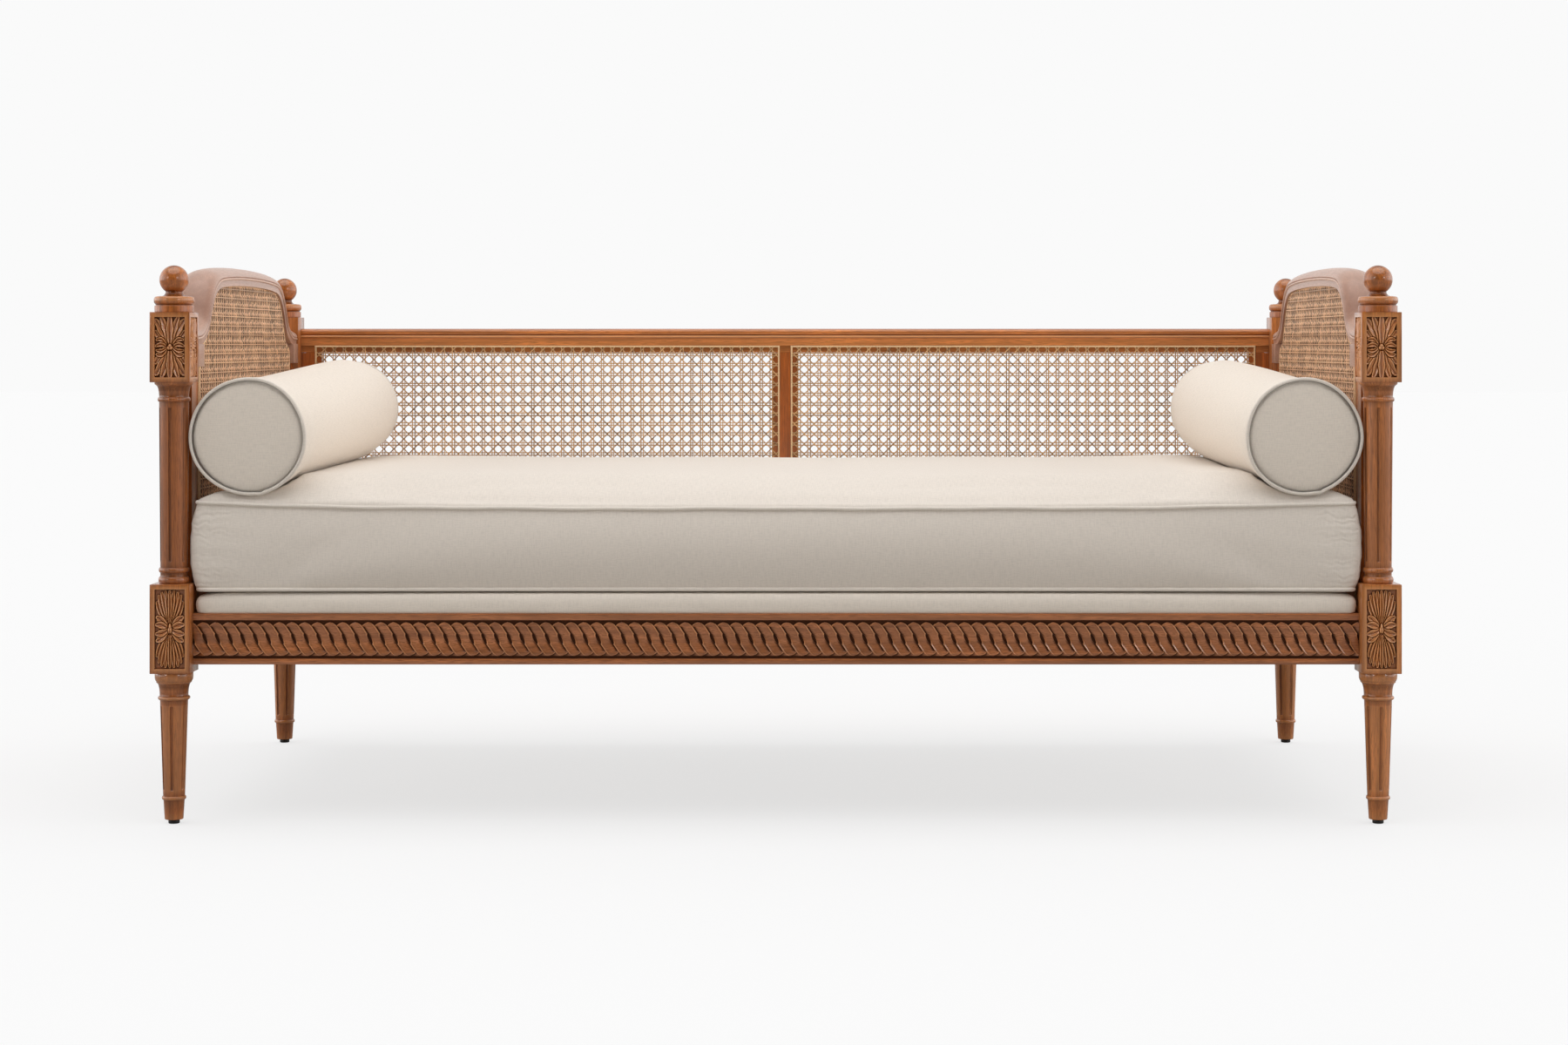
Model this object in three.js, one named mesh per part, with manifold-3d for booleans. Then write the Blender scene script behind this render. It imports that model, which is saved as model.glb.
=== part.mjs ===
// Cane-panelled daybed: turned and carved posts, a low cane back, arched cane ends, deck, cushion and bolsters.
// Millimetres. +Z is up and the front faces -Y. The origin is on the floor, under the middle of the frame.
import * as THREE from 'three';
import { mergeVertices } from 'three/addons/utils/BufferGeometryUtils.js';
import Module from 'manifold-3d';

const wasm = await Module();
wasm.setup();

// Plan of the frame
const post_side = 65;
const clear_length = 1900; // between the post blocks, left to right
const clear_depth = 870; // between the post blocks, front to back

// Heights and diameters up the post
const glide_height = 7;
const glide_diameter = 21;
const glide_stem_height = 12;
const glide_stem_diameter = 8;
const toe_height = 32;
const toe_bottom_diameter = 30;
const toe_top_diameter = 34;
const ankle_ring_height = 6.5;
const ankle_ring_diameter = 39;
const leg_shaft_height = 156.5;
const leg_shaft_bottom_diameter = 35;
const leg_shaft_top_diameter = 45;
const knee_ring_height = 6.5;
const knee_ring_diameter = 52;
const leg_neck_height = 24;
const leg_neck_diameter = 46;
const leg_lip_height = 14.5;
const leg_lip_bottom_diameter = 57;
const leg_lip_diameter = 62;
const lower_block_height = 145;
const base_torus_height = 11;
const base_torus_diameter = 50;
const base_scotia_height = 6.5;
const base_scotia_diameter = 44;
const base_ring_height = 8.5;
const base_ring_diameter = 49;
const column_height = 270;
const column_bottom_diameter = 44;
const column_top_diameter = 48;
const necking_height = 7.6;
const necking_diameter = 53;
const capital_height = 24.4;
const capital_top_diameter = 63;
const upper_block_height = 114;

// Flutes of the leg and the column
const flute_count = 6;
const flute_radius = 3;
const flute_depth = 2;
const flute_end_margin = 9;

// Sunk panels of the blocks and the leaf rosettes in them
const panel_margin = 8;
const panel_depth = 5;
const rosette_height = 4;
const rosette_tip_shares = [[0.92, 0.2], [0.55, 0.94]];
const rosette_valley_shares = [[0.4, 0], [0.5, 0.42], [0, 0.5]];

// Finial
const plinth_height = 10.6;
const plinth_diameter = 63;
const plinth_groove_height = 2.2;
const plinth_groove_diameter = 58;
const finial_torus_height = 13.5;
const finial_torus_diameter = 65;
const finial_neck_height = 8;
const finial_neck_diameter = 26;
const ball_diameter = 47;
const ball_sink = 4.7; // how far the ball's bottom lies below the top of its neck
const finial_dowel_diameter = 12;
const finial_dowel_length = 25;

// Seat rails
const rail_thickness = 30;
const rail_height = 83;
const rail_bottom_gap = 13; // from the bottom of the lower block up to the rail
const rail_setback = 22; // from the outer face of the block in to the rail
const rear_rail_setback = 13;
const rail_fillet_height = 11;
const rail_band_depth = 3;
const tenon_thickness = 12;
const tenon_length = 20;
const tenon_shoulder = 8;

// Hidden supports of the deck
const ledger_side = 20;
const bearer_height = 40;
const bearer_width = 45;
const bearer_count = 3;
const corner_block_leg = 65;
const corner_block_height = 34;

// Cane panels, their splines and the rebate that holds both
const cane_thickness = 2;
const rebate_width = 14;
const rebate_depth = 3;
const spline_width = 4;
const net_bar = 40;
const back_net_columns = 10;
const back_net_rows = 4;
const end_net_columns = 8;
const end_net_rows = 5;

// Back frame
const back_thickness = 28;
const back_front_setback = 32.5; // from the front face of the rear block back to the frame
const back_top_drop = 22; // from the top of the upper block down to the top rail
const top_rail_height = 47;
const top_rail_crown_height = 12;
const top_rail_bead_height = 5;
const top_rail_overhang = 3;
const top_rail_crown_shares = [[1, 0.12], [1, 0.45], [0.7, 0.8], [0, 1]];
const back_stile_width = 40;
const centre_stile_width = 49;
const back_bottom_rail_height = 77;

// End frames
const end_frame_thickness = 43;
const end_stile_width = 58;
const end_bottom_rail_height = 80;
const crest_shoulder_drop = 41; // from the top of the upper block down to the crest's shoulder
const crest_joint_drop = 89; // from the top of the upper block down to the joint of crest and stile
const crest_rise = 106;
const crest_band = 13;
const crest_crown = 18;
const crest_shoulder_shares = [[0, 0], [0.035, 0], [0.12, 0.05], [0.195, 0.2]];
const crest_arch_shares = [[0.222, 0.33], [0.267, 0.585], [0.34, 0.82], [0.44, 0.934], [0.73, 0.99], [1, 1]];
const crest_section_shares = [[0, 0], [0.3, 0.03], [0.7, 0.14], [0.95, 0.32], [1, 0.5]];
const notch_drop = 15; // from the crest's shoulder down to the notch of the cane opening
const notch_radius = 18;
const notch_run_share = 0.62;

// Deck, cushion and bolsters
const deck_end_gap = 10;
const deck_height = 33.5;
const deck_back_gap = 6;
const deck_edge_radius = 12;
const board_thickness = 12;
const cover_thickness = 6;
const cushion_end_gap = 3;
const cushion_front_overhang = 7;
const cushion_back_gap = 5;
const cushion_side_height = 137;
const cushion_crown = 46;
const cushion_crown_power = 12;
const cushion_end_lift = 10;
const cushion_corner_radius = 34;
const cushion_draw_in = 5;
const cushion_bulge = 3;
const cushion_bottom_tuck = 16;
const cushion_points_per_side = [9, 5];
const cushion_crown_ring_shares = [0.985, 0.955, 0.91, 0.83, 0.65];
const welt_diameter = 6.5;
const bolster_diameter = 190;
const bolster_front_setback = 20; // from the outer face of the front block back to the bolster's disc
const bolster_back_gap = 84; // from the middle of the rear disc to the back frame
const bolster_column_gap = 3.5; // between the bolster's side and the front column
const bolster_toe_in = 25;
const bolster_sink = 23.3; // from the cushion's top down to the bolster's underside at the front
const bolster_axis_rise = 27;
const bolster_edge_radius = 5;
const bolster_disc_crown = 3;

// Working values
const fit_gap = 0.3;
const overrun = 1;
const turning_sides = 18;
const finial_sides = 14;
const glide_sides = 12;
const hole_sides = 10;
const ring_steps = 2;
const torus_steps = 4;
const cove_steps = 3;
const ball_steps = 6;
const bolster_sides = 28;

// Levels that the pieces share
const inner_x = clear_length / 2;
const inner_y = clear_depth / 2;
const post_x = inner_x + post_side / 2;
const post_y = inner_y + post_side / 2;
const outer_x = inner_x + post_side;
const outer_y = inner_y + post_side;
const toe_top = glide_height + toe_height;
const leg_shaft_bottom = toe_top + ankle_ring_height;
const leg_shaft_top = leg_shaft_bottom + leg_shaft_height;
const leg_neck_bottom = leg_shaft_top + knee_ring_height;
const leg_lip_bottom = leg_neck_bottom + leg_neck_height;
const lower_block_bottom = leg_lip_bottom + leg_lip_height;
const lower_block_top = lower_block_bottom + lower_block_height;
const base_scotia_bottom = lower_block_top + base_torus_height;
const base_ring_bottom = base_scotia_bottom + base_scotia_height;
const column_bottom = base_ring_bottom + base_ring_height;
const column_top = column_bottom + column_height;
const capital_bottom = column_top + necking_height;
const upper_block_bottom = capital_bottom + capital_height;
const upper_block_top = upper_block_bottom + upper_block_height;
const rail_bottom = lower_block_bottom + rail_bottom_gap;
const rail_top = rail_bottom + rail_height;
const back_front = inner_y + back_front_setback;
const back_rear = back_front + back_thickness;
const top_rail_top = upper_block_top - back_top_drop;
const top_rail_bottom = top_rail_top - top_rail_height;
const back_opening_bottom = rail_top + back_bottom_rail_height;
const crest_shoulder = upper_block_top - crest_shoulder_drop;
const crest_joint = upper_block_top - crest_joint_drop;
const end_frame_inner = post_x - end_frame_thickness / 2;
const end_frame_outer = post_x + end_frame_thickness / 2;
const end_opening_bottom = rail_top + end_bottom_rail_height;
const deck_top = rail_top + deck_height;
const deck_half_length = inner_x - deck_end_gap;
const deck_front = -outer_y + rail_setback;
const deck_rear = back_front - deck_back_gap;
const cushion_bottom = deck_top + fit_gap;
const cushion_top = cushion_bottom + cushion_side_height + cushion_crown;
const bolster_front = -outer_y + bolster_front_setback;
const bolster_run = back_front - bolster_back_gap - bolster_front;
const bolster_length = Math.hypot(bolster_run, bolster_toe_in, bolster_axis_rise);

const oak = new THREE.MeshStandardMaterial({ color: '#96603c', roughness: 0.42, metalness: 0 });
const dark_oak = new THREE.MeshStandardMaterial({ color: '#85553a', roughness: 0.45, metalness: 0 });
const inner_wood = new THREE.MeshStandardMaterial({ color: '#b98d5f', roughness: 0.7, metalness: 0 });
const plywood = new THREE.MeshStandardMaterial({ color: '#c9a97c', roughness: 0.75, metalness: 0 });
const cane = new THREE.MeshStandardMaterial({ color: '#cd9b69', roughness: 0.5, metalness: 0 });
const linen = new THREE.MeshStandardMaterial({ color: '#ddd2c3', roughness: 0.9, metalness: 0 });
const glide_black = new THREE.MeshStandardMaterial({ color: '#1b1a19', roughness: 0.6, metalness: 0 });

// A closed geometry as a solid that can be joined and cut
function solidOf(geometry) {
  const bare = geometry.index ? geometry.toNonIndexed() : geometry.clone();
  bare.deleteAttribute('normal');
  bare.deleteAttribute('uv');
  const merged = mergeVertices(bare, 1e-4);
  const index = merged.index.array;
  const triangles = [];
  for (let i = 0; i < index.length; i += 3) {
    const [a, b, c] = [index[i], index[i + 1], index[i + 2]];
    if (a !== b && b !== c && c !== a) triangles.push(a, b, c);
  }
  return new wasm.Manifold(new wasm.Mesh({
    numProp: 3,
    vertProperties: new Float32Array(merged.attributes.position.array),
    triVerts: new Uint32Array(triangles),
  }));
}

function geometryOf(solid) {
  const mesh = solid.getMesh();
  const geometry = new THREE.BufferGeometry();
  geometry.setAttribute('position', new THREE.BufferAttribute(new Float32Array(mesh.vertProperties), 3));
  geometry.setIndex(new THREE.BufferAttribute(new Uint32Array(mesh.triVerts), 1));
  geometry.computeVertexNormals();
  return geometry;
}

function joined(solids) {
  return solids.reduce((sum, solid) => sum.add(solid));
}

function box([x0, x1], [y0, y1], [z0, z1]) {
  const geometry = new THREE.BoxGeometry(x1 - x0, y1 - y0, z1 - z0);
  geometry.translate((x0 + x1) / 2, (y0 + y1) / 2, (z0 + z1) / 2);
  return solidOf(geometry);
}

// A round solid about the Z axis from [radius, height] points
function turned(points, sides = turning_sides) {
  const profile = points.map(([radius, height]) => new THREE.Vector2(radius, height));
  return solidOf(new THREE.LatheGeometry(profile, sides).rotateX(Math.PI / 2));
}

// A rounded ring on a turning, from z up
function bead(z, height, inner_radius, outer_radius, steps = ring_steps) {
  const points = [];
  for (let i = 0; i <= steps; i += 1) {
    const angle = Math.PI * i / steps;
    const swell = (outer_radius - inner_radius) * Math.sin(angle);
    points.push([inner_radius + swell, z + height * (1 - Math.cos(angle)) / 2]);
  }
  return points;
}

// A hollow that leaves a turning upright and flares out to its top
function cove(z, height, bottom_radius, top_radius) {
  const points = [];
  for (let i = 0; i <= cove_steps; i += 1) {
    const angle = Math.PI / 2 * i / cove_steps;
    const flare = (top_radius - bottom_radius) * (1 - Math.cos(angle));
    points.push([bottom_radius + flare, z + height * Math.sin(angle)]);
  }
  return points;
}

// A closed outline in the YZ plane, pushed out along X
function prismAlongX(outline, [x0, x1], holes = []) {
  const shape = new THREE.Shape(outline.map(([y, z]) => new THREE.Vector2(y, z)));
  for (const hole of holes) shape.holes.push(new THREE.Path(hole.map(([y, z]) => new THREE.Vector2(y, z))));
  const geometry = new THREE.ExtrudeGeometry(shape, { depth: x1 - x0, bevelEnabled: false });
  geometry.applyMatrix4(new THREE.Matrix4().makeBasis(
    new THREE.Vector3(0, 1, 0), new THREE.Vector3(0, 0, 1), new THREE.Vector3(1, 0, 0),
  ));
  return solidOf(geometry.translate(x0, 0, 0));
}

// A closed outline in the XZ plane, pushed back along Y from y0
function prismAlongY(outline, [y0, y1], holes = []) {
  const shape = new THREE.Shape(outline.map(([x, z]) => new THREE.Vector2(x, z)));
  for (const hole of holes) shape.holes.push(new THREE.Path(hole.map(([x, z]) => new THREE.Vector2(x, z))));
  const geometry = new THREE.ExtrudeGeometry(shape, { depth: y1 - y0, bevelEnabled: false });
  return solidOf(geometry.rotateX(Math.PI / 2).translate(0, y1, 0));
}

// The outline moved in by a distance, corner by corner; the outline runs anticlockwise
function inset(outline, distance) {
  return outline.map((point, i) => {
    const before = outline[(i + outline.length - 1) % outline.length];
    const after = outline[(i + 1) % outline.length];
    const here = new THREE.Vector2(...point);
    const inward = new THREE.Vector2(...point).sub(new THREE.Vector2(...before)).normalize();
    const outward = new THREE.Vector2(...after).sub(here).normalize();
    const mitre = new THREE.Vector2(-inward.y - outward.y, inward.x + outward.x).normalize();
    const reach = distance / mitre.dot(new THREE.Vector2(-inward.y, inward.x));
    return [here.x + mitre.x * reach, here.y + mitre.y * reach];
  });
}

function rectangle([u0, u1], [v0, v1]) {
  return [[u0, v0], [u1, v0], [u1, v1], [u0, v1]];
}

// A skin through rings of equal point counts, closed by flat or pointed ends
function loft(rings) {
  const count = rings[0].length;
  const positions = rings.flat(2);
  const triangles = [];
  for (let r = 0; r + 1 < rings.length; r += 1) {
    for (let i = 0; i < count; i += 1) {
      const a = r * count + i;
      const b = r * count + (i + 1) % count;
      triangles.push(a, b, b + count, a, b + count, a + count);
    }
  }
  const top = (rings.length - 1) * count;
  for (const [ring, start] of [[rings[0], 0], [rings[rings.length - 1], top]]) {
    const centre = positions.length / 3;
    for (const axis of [0, 1, 2]) positions.push(ring.reduce((sum, point) => sum + point[axis], 0) / count);
    for (let i = 0; i < count; i += 1) {
      const pair = [start + i, start + (i + 1) % count];
      if (start === 0) pair.reverse();
      triangles.push(centre, ...pair);
    }
  }
  const geometry = new THREE.BufferGeometry();
  geometry.setAttribute('position', new THREE.BufferAttribute(new Float32Array(positions), 3));
  geometry.setIndex(triangles);
  return solidOf(geometry);
}

const daybed = new THREE.Group();

function place(name, solid, material, parent = daybed) {
  const mesh = new THREE.Mesh(geometryOf(solid), material);
  mesh.name = name;
  parent.add(mesh);
  return mesh;
}

// Posts: the turned stretches, with the blocks between them
function legTurning() {
  const shaft_bottom = leg_shaft_bottom_diameter / 2;
  const shaft_top = leg_shaft_top_diameter / 2;
  return turned([
    [0, glide_height],
    [toe_bottom_diameter / 2, glide_height],
    [toe_top_diameter / 2, toe_top],
    ...bead(toe_top, ankle_ring_height, shaft_bottom, ankle_ring_diameter / 2).slice(1),
    ...bead(leg_shaft_top, knee_ring_height, shaft_top, knee_ring_diameter / 2),
    ...cove(leg_neck_bottom, leg_neck_height, leg_neck_diameter / 2, leg_lip_bottom_diameter / 2),
    [leg_lip_diameter / 2, leg_lip_bottom + leg_lip_height / 3],
    [leg_lip_diameter / 2, lower_block_bottom],
    [shaft_top, lower_block_bottom],
    [shaft_top, lower_block_bottom + overrun],
    [0, lower_block_bottom + overrun],
  ]);
}

function columnTurning() {
  const bottom = column_bottom_diameter / 2;
  const top = column_top_diameter / 2;
  const scotia = base_scotia_diameter / 2;
  return turned([
    [0, lower_block_top - overrun],
    [scotia, lower_block_top - overrun],
    ...bead(lower_block_top, base_torus_height, scotia, base_torus_diameter / 2, torus_steps),
    ...bead(base_ring_bottom, base_ring_height, scotia, base_ring_diameter / 2).slice(0, -1),
    [bottom, column_bottom],
    ...bead(column_top, necking_height, top, necking_diameter / 2),
    ...cove(capital_bottom, capital_height, top, capital_top_diameter / 2),
    [top, upper_block_bottom],
    [top, upper_block_bottom + overrun],
    [0, upper_block_bottom + overrun],
  ]);
}

// Round-ended cutters that stand in the shaft's surface, one in the middle of every third facet
function fluteCutters(z0, z1, radius0, radius1) {
  const start = z0 + flute_end_margin;
  const end = z1 - flute_end_margin;
  const run = end - start - 2 * flute_radius;
  const lean = Math.atan2(radius1 - radius0, z1 - z0);
  const facet_middle = Math.PI / turning_sides;
  const cutters = [];
  for (let i = 0; i < flute_count; i += 1) {
    const cutter = new THREE.CapsuleGeometry(flute_radius, run, 1, 6);
    cutter.rotateX(Math.PI / 2).rotateY(lean);
    const flat = (radius0 + radius1) / 2 * Math.cos(facet_middle);
    cutter.translate(flat + flute_radius - flute_depth, 0, (start + end) / 2);
    cutter.rotateZ(facet_middle + i * 2 * Math.PI / flute_count);
    cutters.push(solidOf(cutter));
  }
  return joined(cutters);
}

// A leaf rosette in outline, as wide and as high as its panel
function rosetteOutline(half_width, half_height) {
  const quarter = [
    rosette_valley_shares[0], rosette_tip_shares[0], rosette_valley_shares[1],
    rosette_tip_shares[1], rosette_valley_shares[2],
  ];
  const outline = [];
  for (const [sx, sy, backwards] of [[1, 1, false], [-1, 1, true], [-1, -1, false], [1, -1, true]]) {
    const run = backwards ? [...quarter].reverse() : quarter;
    for (const [u, v] of run.slice(0, -1)) outline.push([sx * u * half_width, sy * v * half_height]);
  }
  return outline;
}

// Sinks a panel with a rosette into one face of a block; the turn is 0 for the front and a quarter for each side on
function withCarvedFace(block, z0, z1, turn) {
  const half_width = post_side / 2 - panel_margin;
  const half_height = (z1 - z0) / 2 - panel_margin;
  const face = -post_side / 2;
  const floor = face + panel_depth;
  const middle = (z0 + z1) / 2;
  const recess = box([-half_width, half_width], [face - overrun, floor], [middle - half_height, middle + half_height]);
  const outline = rosetteOutline(half_width, half_height).map(([x, z]) => [x, z + middle]);
  const rosette = prismAlongY(outline, [floor - rosette_height, floor + overrun]);
  const degrees = turn * 90;
  return block.subtract(recess.rotate([0, 0, degrees])).add(rosette.rotate([0, 0, degrees]));
}

function post(upper_turns, lower_turns) {
  const half = post_side / 2;
  let lower = box([-half, half], [-half, half], [lower_block_bottom, lower_block_top]);
  for (const turn of lower_turns) lower = withCarvedFace(lower, lower_block_bottom, lower_block_top, turn);
  let upper = box([-half, half], [-half, half], [upper_block_bottom, upper_block_top]);
  for (const turn of upper_turns) upper = withCarvedFace(upper, upper_block_bottom, upper_block_top, turn);
  const leg_radii = [leg_shaft_bottom_diameter / 2, leg_shaft_top_diameter / 2];
  const column_radii = [column_bottom_diameter / 2, column_top_diameter / 2];
  const leg = legTurning().subtract(fluteCutters(leg_shaft_bottom, leg_shaft_top, ...leg_radii));
  const column = columnTurning().subtract(fluteCutters(column_bottom, column_top, ...column_radii));
  const glide_hole = turned([
    [0, glide_height - overrun],
    [glide_stem_diameter / 2 + fit_gap, glide_height - overrun],
    [glide_stem_diameter / 2 + fit_gap, glide_height + glide_stem_height + fit_gap],
    [0, glide_height + glide_stem_height + fit_gap],
  ], hole_sides);
  const finial_hole = turned([
    [0, upper_block_top - finial_dowel_length - fit_gap],
    [finial_dowel_diameter / 2 + fit_gap, upper_block_top - finial_dowel_length - fit_gap],
    [finial_dowel_diameter / 2 + fit_gap, upper_block_top + overrun],
    [0, upper_block_top + overrun],
  ], hole_sides);
  return joined([leg, lower, column, upper]).subtract(glide_hole).subtract(finial_hole);
}

function finial() {
  const z = upper_block_top + fit_gap;
  const groove_bottom = z + plinth_height;
  const torus_bottom = groove_bottom + plinth_groove_height;
  const neck_bottom = torus_bottom + finial_torus_height;
  const ball_radius = ball_diameter / 2;
  const ball_centre = neck_bottom + finial_neck_height - ball_sink + ball_radius;
  const ball_start = Math.asin(finial_neck_diameter / ball_diameter);
  const ball = [];
  for (let i = 0; i <= ball_steps; i += 1) {
    const angle = ball_start + (Math.PI - ball_start) * i / ball_steps;
    const radius = i === ball_steps ? 0 : ball_radius * Math.sin(angle);
    ball.push([radius, ball_centre - ball_radius * Math.cos(angle)]);
  }
  return turned([
    [0, z - finial_dowel_length],
    [finial_dowel_diameter / 2, z - finial_dowel_length],
    [finial_dowel_diameter / 2, z],
    [plinth_diameter / 2, z],
    [plinth_diameter / 2, groove_bottom],
    [plinth_groove_diameter / 2, groove_bottom],
    ...bead(torus_bottom, finial_torus_height, plinth_groove_diameter / 2, finial_torus_diameter / 2, torus_steps),
    [finial_neck_diameter / 2 + ball_sink / 2, neck_bottom],
    ...ball,
  ], finial_sides);
}

function glide() {
  return turned([
    [0, 0],
    [glide_diameter / 2, 0],
    [glide_diameter / 2, glide_height - fit_gap],
    [glide_stem_diameter / 2, glide_height - fit_gap],
    [glide_stem_diameter / 2, glide_height + glide_stem_height],
    [0, glide_height + glide_stem_height],
  ], glide_sides);
}

// Grows a box's ranges, for the mortise round a tenon
function grown(ranges, gap) {
  return ranges.map(([low, high]) => [low - gap, high + gap]);
}

function mirroredRange([low, high], sign) {
  return sign > 0 ? [low, high] : [-high, -low];
}

// Tenon boxes, given for the side of the frame that has positive X and Y
const rail_tenon_z = [rail_bottom + tenon_shoulder, rail_top - tenon_shoulder];
const front_rail_y = [outer_y - rail_setback - rail_thickness, outer_y - rail_setback];
const rear_rail_y = [outer_y - rear_rail_setback - rail_thickness, outer_y - rear_rail_setback];
const side_rail_x = [outer_x - rail_setback - rail_thickness, outer_x - rail_setback];
const along_x = [inner_x - overrun, inner_x + tenon_length];
const along_y = [inner_y - overrun, inner_y + tenon_length];

function middleOf([low, high], thickness) {
  const middle = (low + high) / 2;
  return [middle - thickness / 2, middle + thickness / 2];
}

const front_tenon = [along_x, middleOf(front_rail_y, tenon_thickness), rail_tenon_z];
const rear_tenon = [along_x, middleOf(rear_rail_y, tenon_thickness), rail_tenon_z];
const side_tenon = [middleOf(side_rail_x, tenon_thickness), along_y, rail_tenon_z];
const top_tenon = [
  along_x,
  middleOf([back_front, back_rear], tenon_thickness),
  [top_rail_bottom + tenon_shoulder, top_rail_top - top_rail_crown_height],
];
const crest_tenon = [
  middleOf([inner_x, outer_x], tenon_thickness),
  along_y,
  [crest_joint + tenon_shoulder, crest_shoulder - tenon_shoulder],
];

function mirroredBox([x, y, z], side_x, side_y) {
  return box(mirroredRange(x, side_x), mirroredRange(y, side_y), z);
}

const left = -1;
const right = 1;
const front = -1;
const rear = 1;

for (const [side_x, side_word] of [[left, 'left'], [right, 'right']]) {
  for (const [side_y, end_word] of [[front, 'front'], [rear, 'rear']]) {
    const at = [side_x * post_x, side_y * post_y, 0];
    const outer_turn = side_x === left ? 3 : 1;
    const inner_turn = side_x === left ? 1 : 3;
    const upper_turns = side_y === front ? [0, inner_turn, outer_turn] : [outer_turn];
    const lower_turns = side_y === front ? [0, outer_turn] : [outer_turn];
    const tenons = side_y === front
      ? [front_tenon, side_tenon, crest_tenon]
      : [rear_tenon, side_tenon, crest_tenon, top_tenon];
    const mortises = tenons.map((tenon) => mirroredBox(grown(tenon, fit_gap), side_x, side_y));
    const standing = post(upper_turns, lower_turns).translate(at);
    place(`${end_word}_${side_word}_post`, standing.subtract(joined(mortises)), oak);
    place(`${end_word}_${side_word}_finial`, finial().translate(at), oak);
    place(`${end_word}_${side_word}_glide`, glide().translate(at), glide_black);
  }
}

// Seat rails; the shown ones have a band sunk between two fillets
function railAlongX(range_y, tenon, side_y, has_band) {
  const ends = inner_x - fit_gap;
  const parts = [
    box([-ends, ends], mirroredRange(range_y, side_y), [rail_bottom, rail_top]),
    mirroredBox(tenon, left, side_y),
    mirroredBox(tenon, right, side_y),
  ];
  const band_y = mirroredRange([range_y[1] - rail_band_depth, range_y[1] + overrun], side_y);
  const band_z = [rail_bottom + rail_fillet_height, rail_top - rail_fillet_height];
  const rail = joined(parts);
  return has_band ? rail.subtract(box([-inner_x, inner_x], band_y, band_z)) : rail;
}

function sideRail(side_x) {
  const ends = inner_y - fit_gap;
  const band_x = mirroredRange([side_rail_x[1] - rail_band_depth, side_rail_x[1] + overrun], side_x);
  const band_z = [rail_bottom + rail_fillet_height, rail_top - rail_fillet_height];
  return joined([
    box(mirroredRange(side_rail_x, side_x), [-ends, ends], [rail_bottom, rail_top]),
    mirroredBox(side_tenon, side_x, front),
    mirroredBox(side_tenon, side_x, rear),
  ]).subtract(box(band_x, [-inner_y, inner_y], band_z));
}

place('front_seat_rail', railAlongX(front_rail_y, front_tenon, front, true), dark_oak);
place('rear_seat_rail', railAlongX(rear_rail_y, rear_tenon, rear, false), oak);
place('left_seat_rail', sideRail(left), dark_oak);
place('right_seat_rail', sideRail(right), dark_oak);

// Ledgers, bearers and corner blocks
const bearer_bottom = rail_top - bearer_height;
const ledger_z = [bearer_bottom - ledger_side, bearer_bottom];
const front_inner = -front_rail_y[0];
const rear_inner = rear_rail_y[0];
const ledger_x = [-inner_x + fit_gap, inner_x - fit_gap];
place('front_ledger', box(ledger_x, [front_inner, front_inner + ledger_side], ledger_z), inner_wood);
place('rear_ledger', box(ledger_x, [rear_inner - ledger_side, rear_inner], ledger_z), inner_wood);
for (let i = 0; i < bearer_count; i += 1) {
  const x = clear_length * ((i + 1) / (bearer_count + 1) - 1 / 2);
  const bearer_y = [front_inner + fit_gap, rear_inner - fit_gap];
  const bearer = box([x - bearer_width / 2, x + bearer_width / 2], bearer_y, [bearer_bottom, rail_top]);
  place(`bearer_${i + 1}`, bearer, inner_wood);
}

// A corner block is notched round the inner corner of the post
function cornerBlock(side_x, side_y) {
  const rail_face_y = side_y === front ? front_rail_y[0] : rear_rail_y[0];
  const u_rail = side_rail_x[0] - inner_x - fit_gap;
  const v_rail = rail_face_y - inner_y - fit_gap;
  const outline = [
    [fit_gap, -v_rail], [corner_block_leg, -v_rail], [-u_rail, corner_block_leg], [-u_rail, fit_gap],
    [fit_gap, fit_gap],
  ].map(([u, v]) => new THREE.Vector2(side_x * (inner_x - u), side_y * (inner_y - v)));
  const options = { depth: corner_block_height, bevelEnabled: false };
  const geometry = new THREE.ExtrudeGeometry(new THREE.Shape(outline), options);
  return solidOf(geometry.translate(0, 0, rail_top - corner_block_height));
}

for (const [side_x, side_word] of [[left, 'left'], [right, 'right']]) {
  place(`front_${side_word}_corner_block`, cornerBlock(side_x, front), inner_wood);
  place(`rear_${side_word}_corner_block`, cornerBlock(side_x, rear), inner_wood);
}

// Back frame
const centre_half = centre_stile_width / 2;
const back_opening_x = [centre_half, inner_x - back_stile_width];
const back_opening_z = [back_opening_bottom, top_rail_bottom];
const back_rebate = rectangle(...grown([back_opening_x, back_opening_z], rebate_width));
const rebate_y = [back_front - overrun, back_front + rebate_depth];

function mirroredOutline(outline, side_x) {
  return side_x > 0 ? outline : outline.map(([x, z]) => [-x, z]).reverse();
}

const back_rebates = joined([
  prismAlongY(back_rebate, rebate_y),
  prismAlongY(mirroredOutline(back_rebate, left), rebate_y),
]);

// The top rail's section: fascia, bead, and a round crown that overhangs front and back
function topRailSection() {
  const half = back_thickness / 2;
  const crown_bottom = top_rail_top - top_rail_crown_height;
  const bead_bottom = crown_bottom - top_rail_bead_height;
  const side = [
    [half, top_rail_bottom],
    [half, bead_bottom],
    [half + top_rail_overhang / 2, bead_bottom + top_rail_bead_height / 2],
    [half, crown_bottom],
    ...top_rail_crown_shares.map(([u, v]) => [
      u * (half + top_rail_overhang), crown_bottom + v * top_rail_crown_height,
    ]),
  ];
  const other = side.slice(0, -1).map(([y, z]) => [-y, z]).reverse();
  const middle = back_front + half;
  return [...side, ...other].map(([y, z]) => [y + middle, z]);
}

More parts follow.
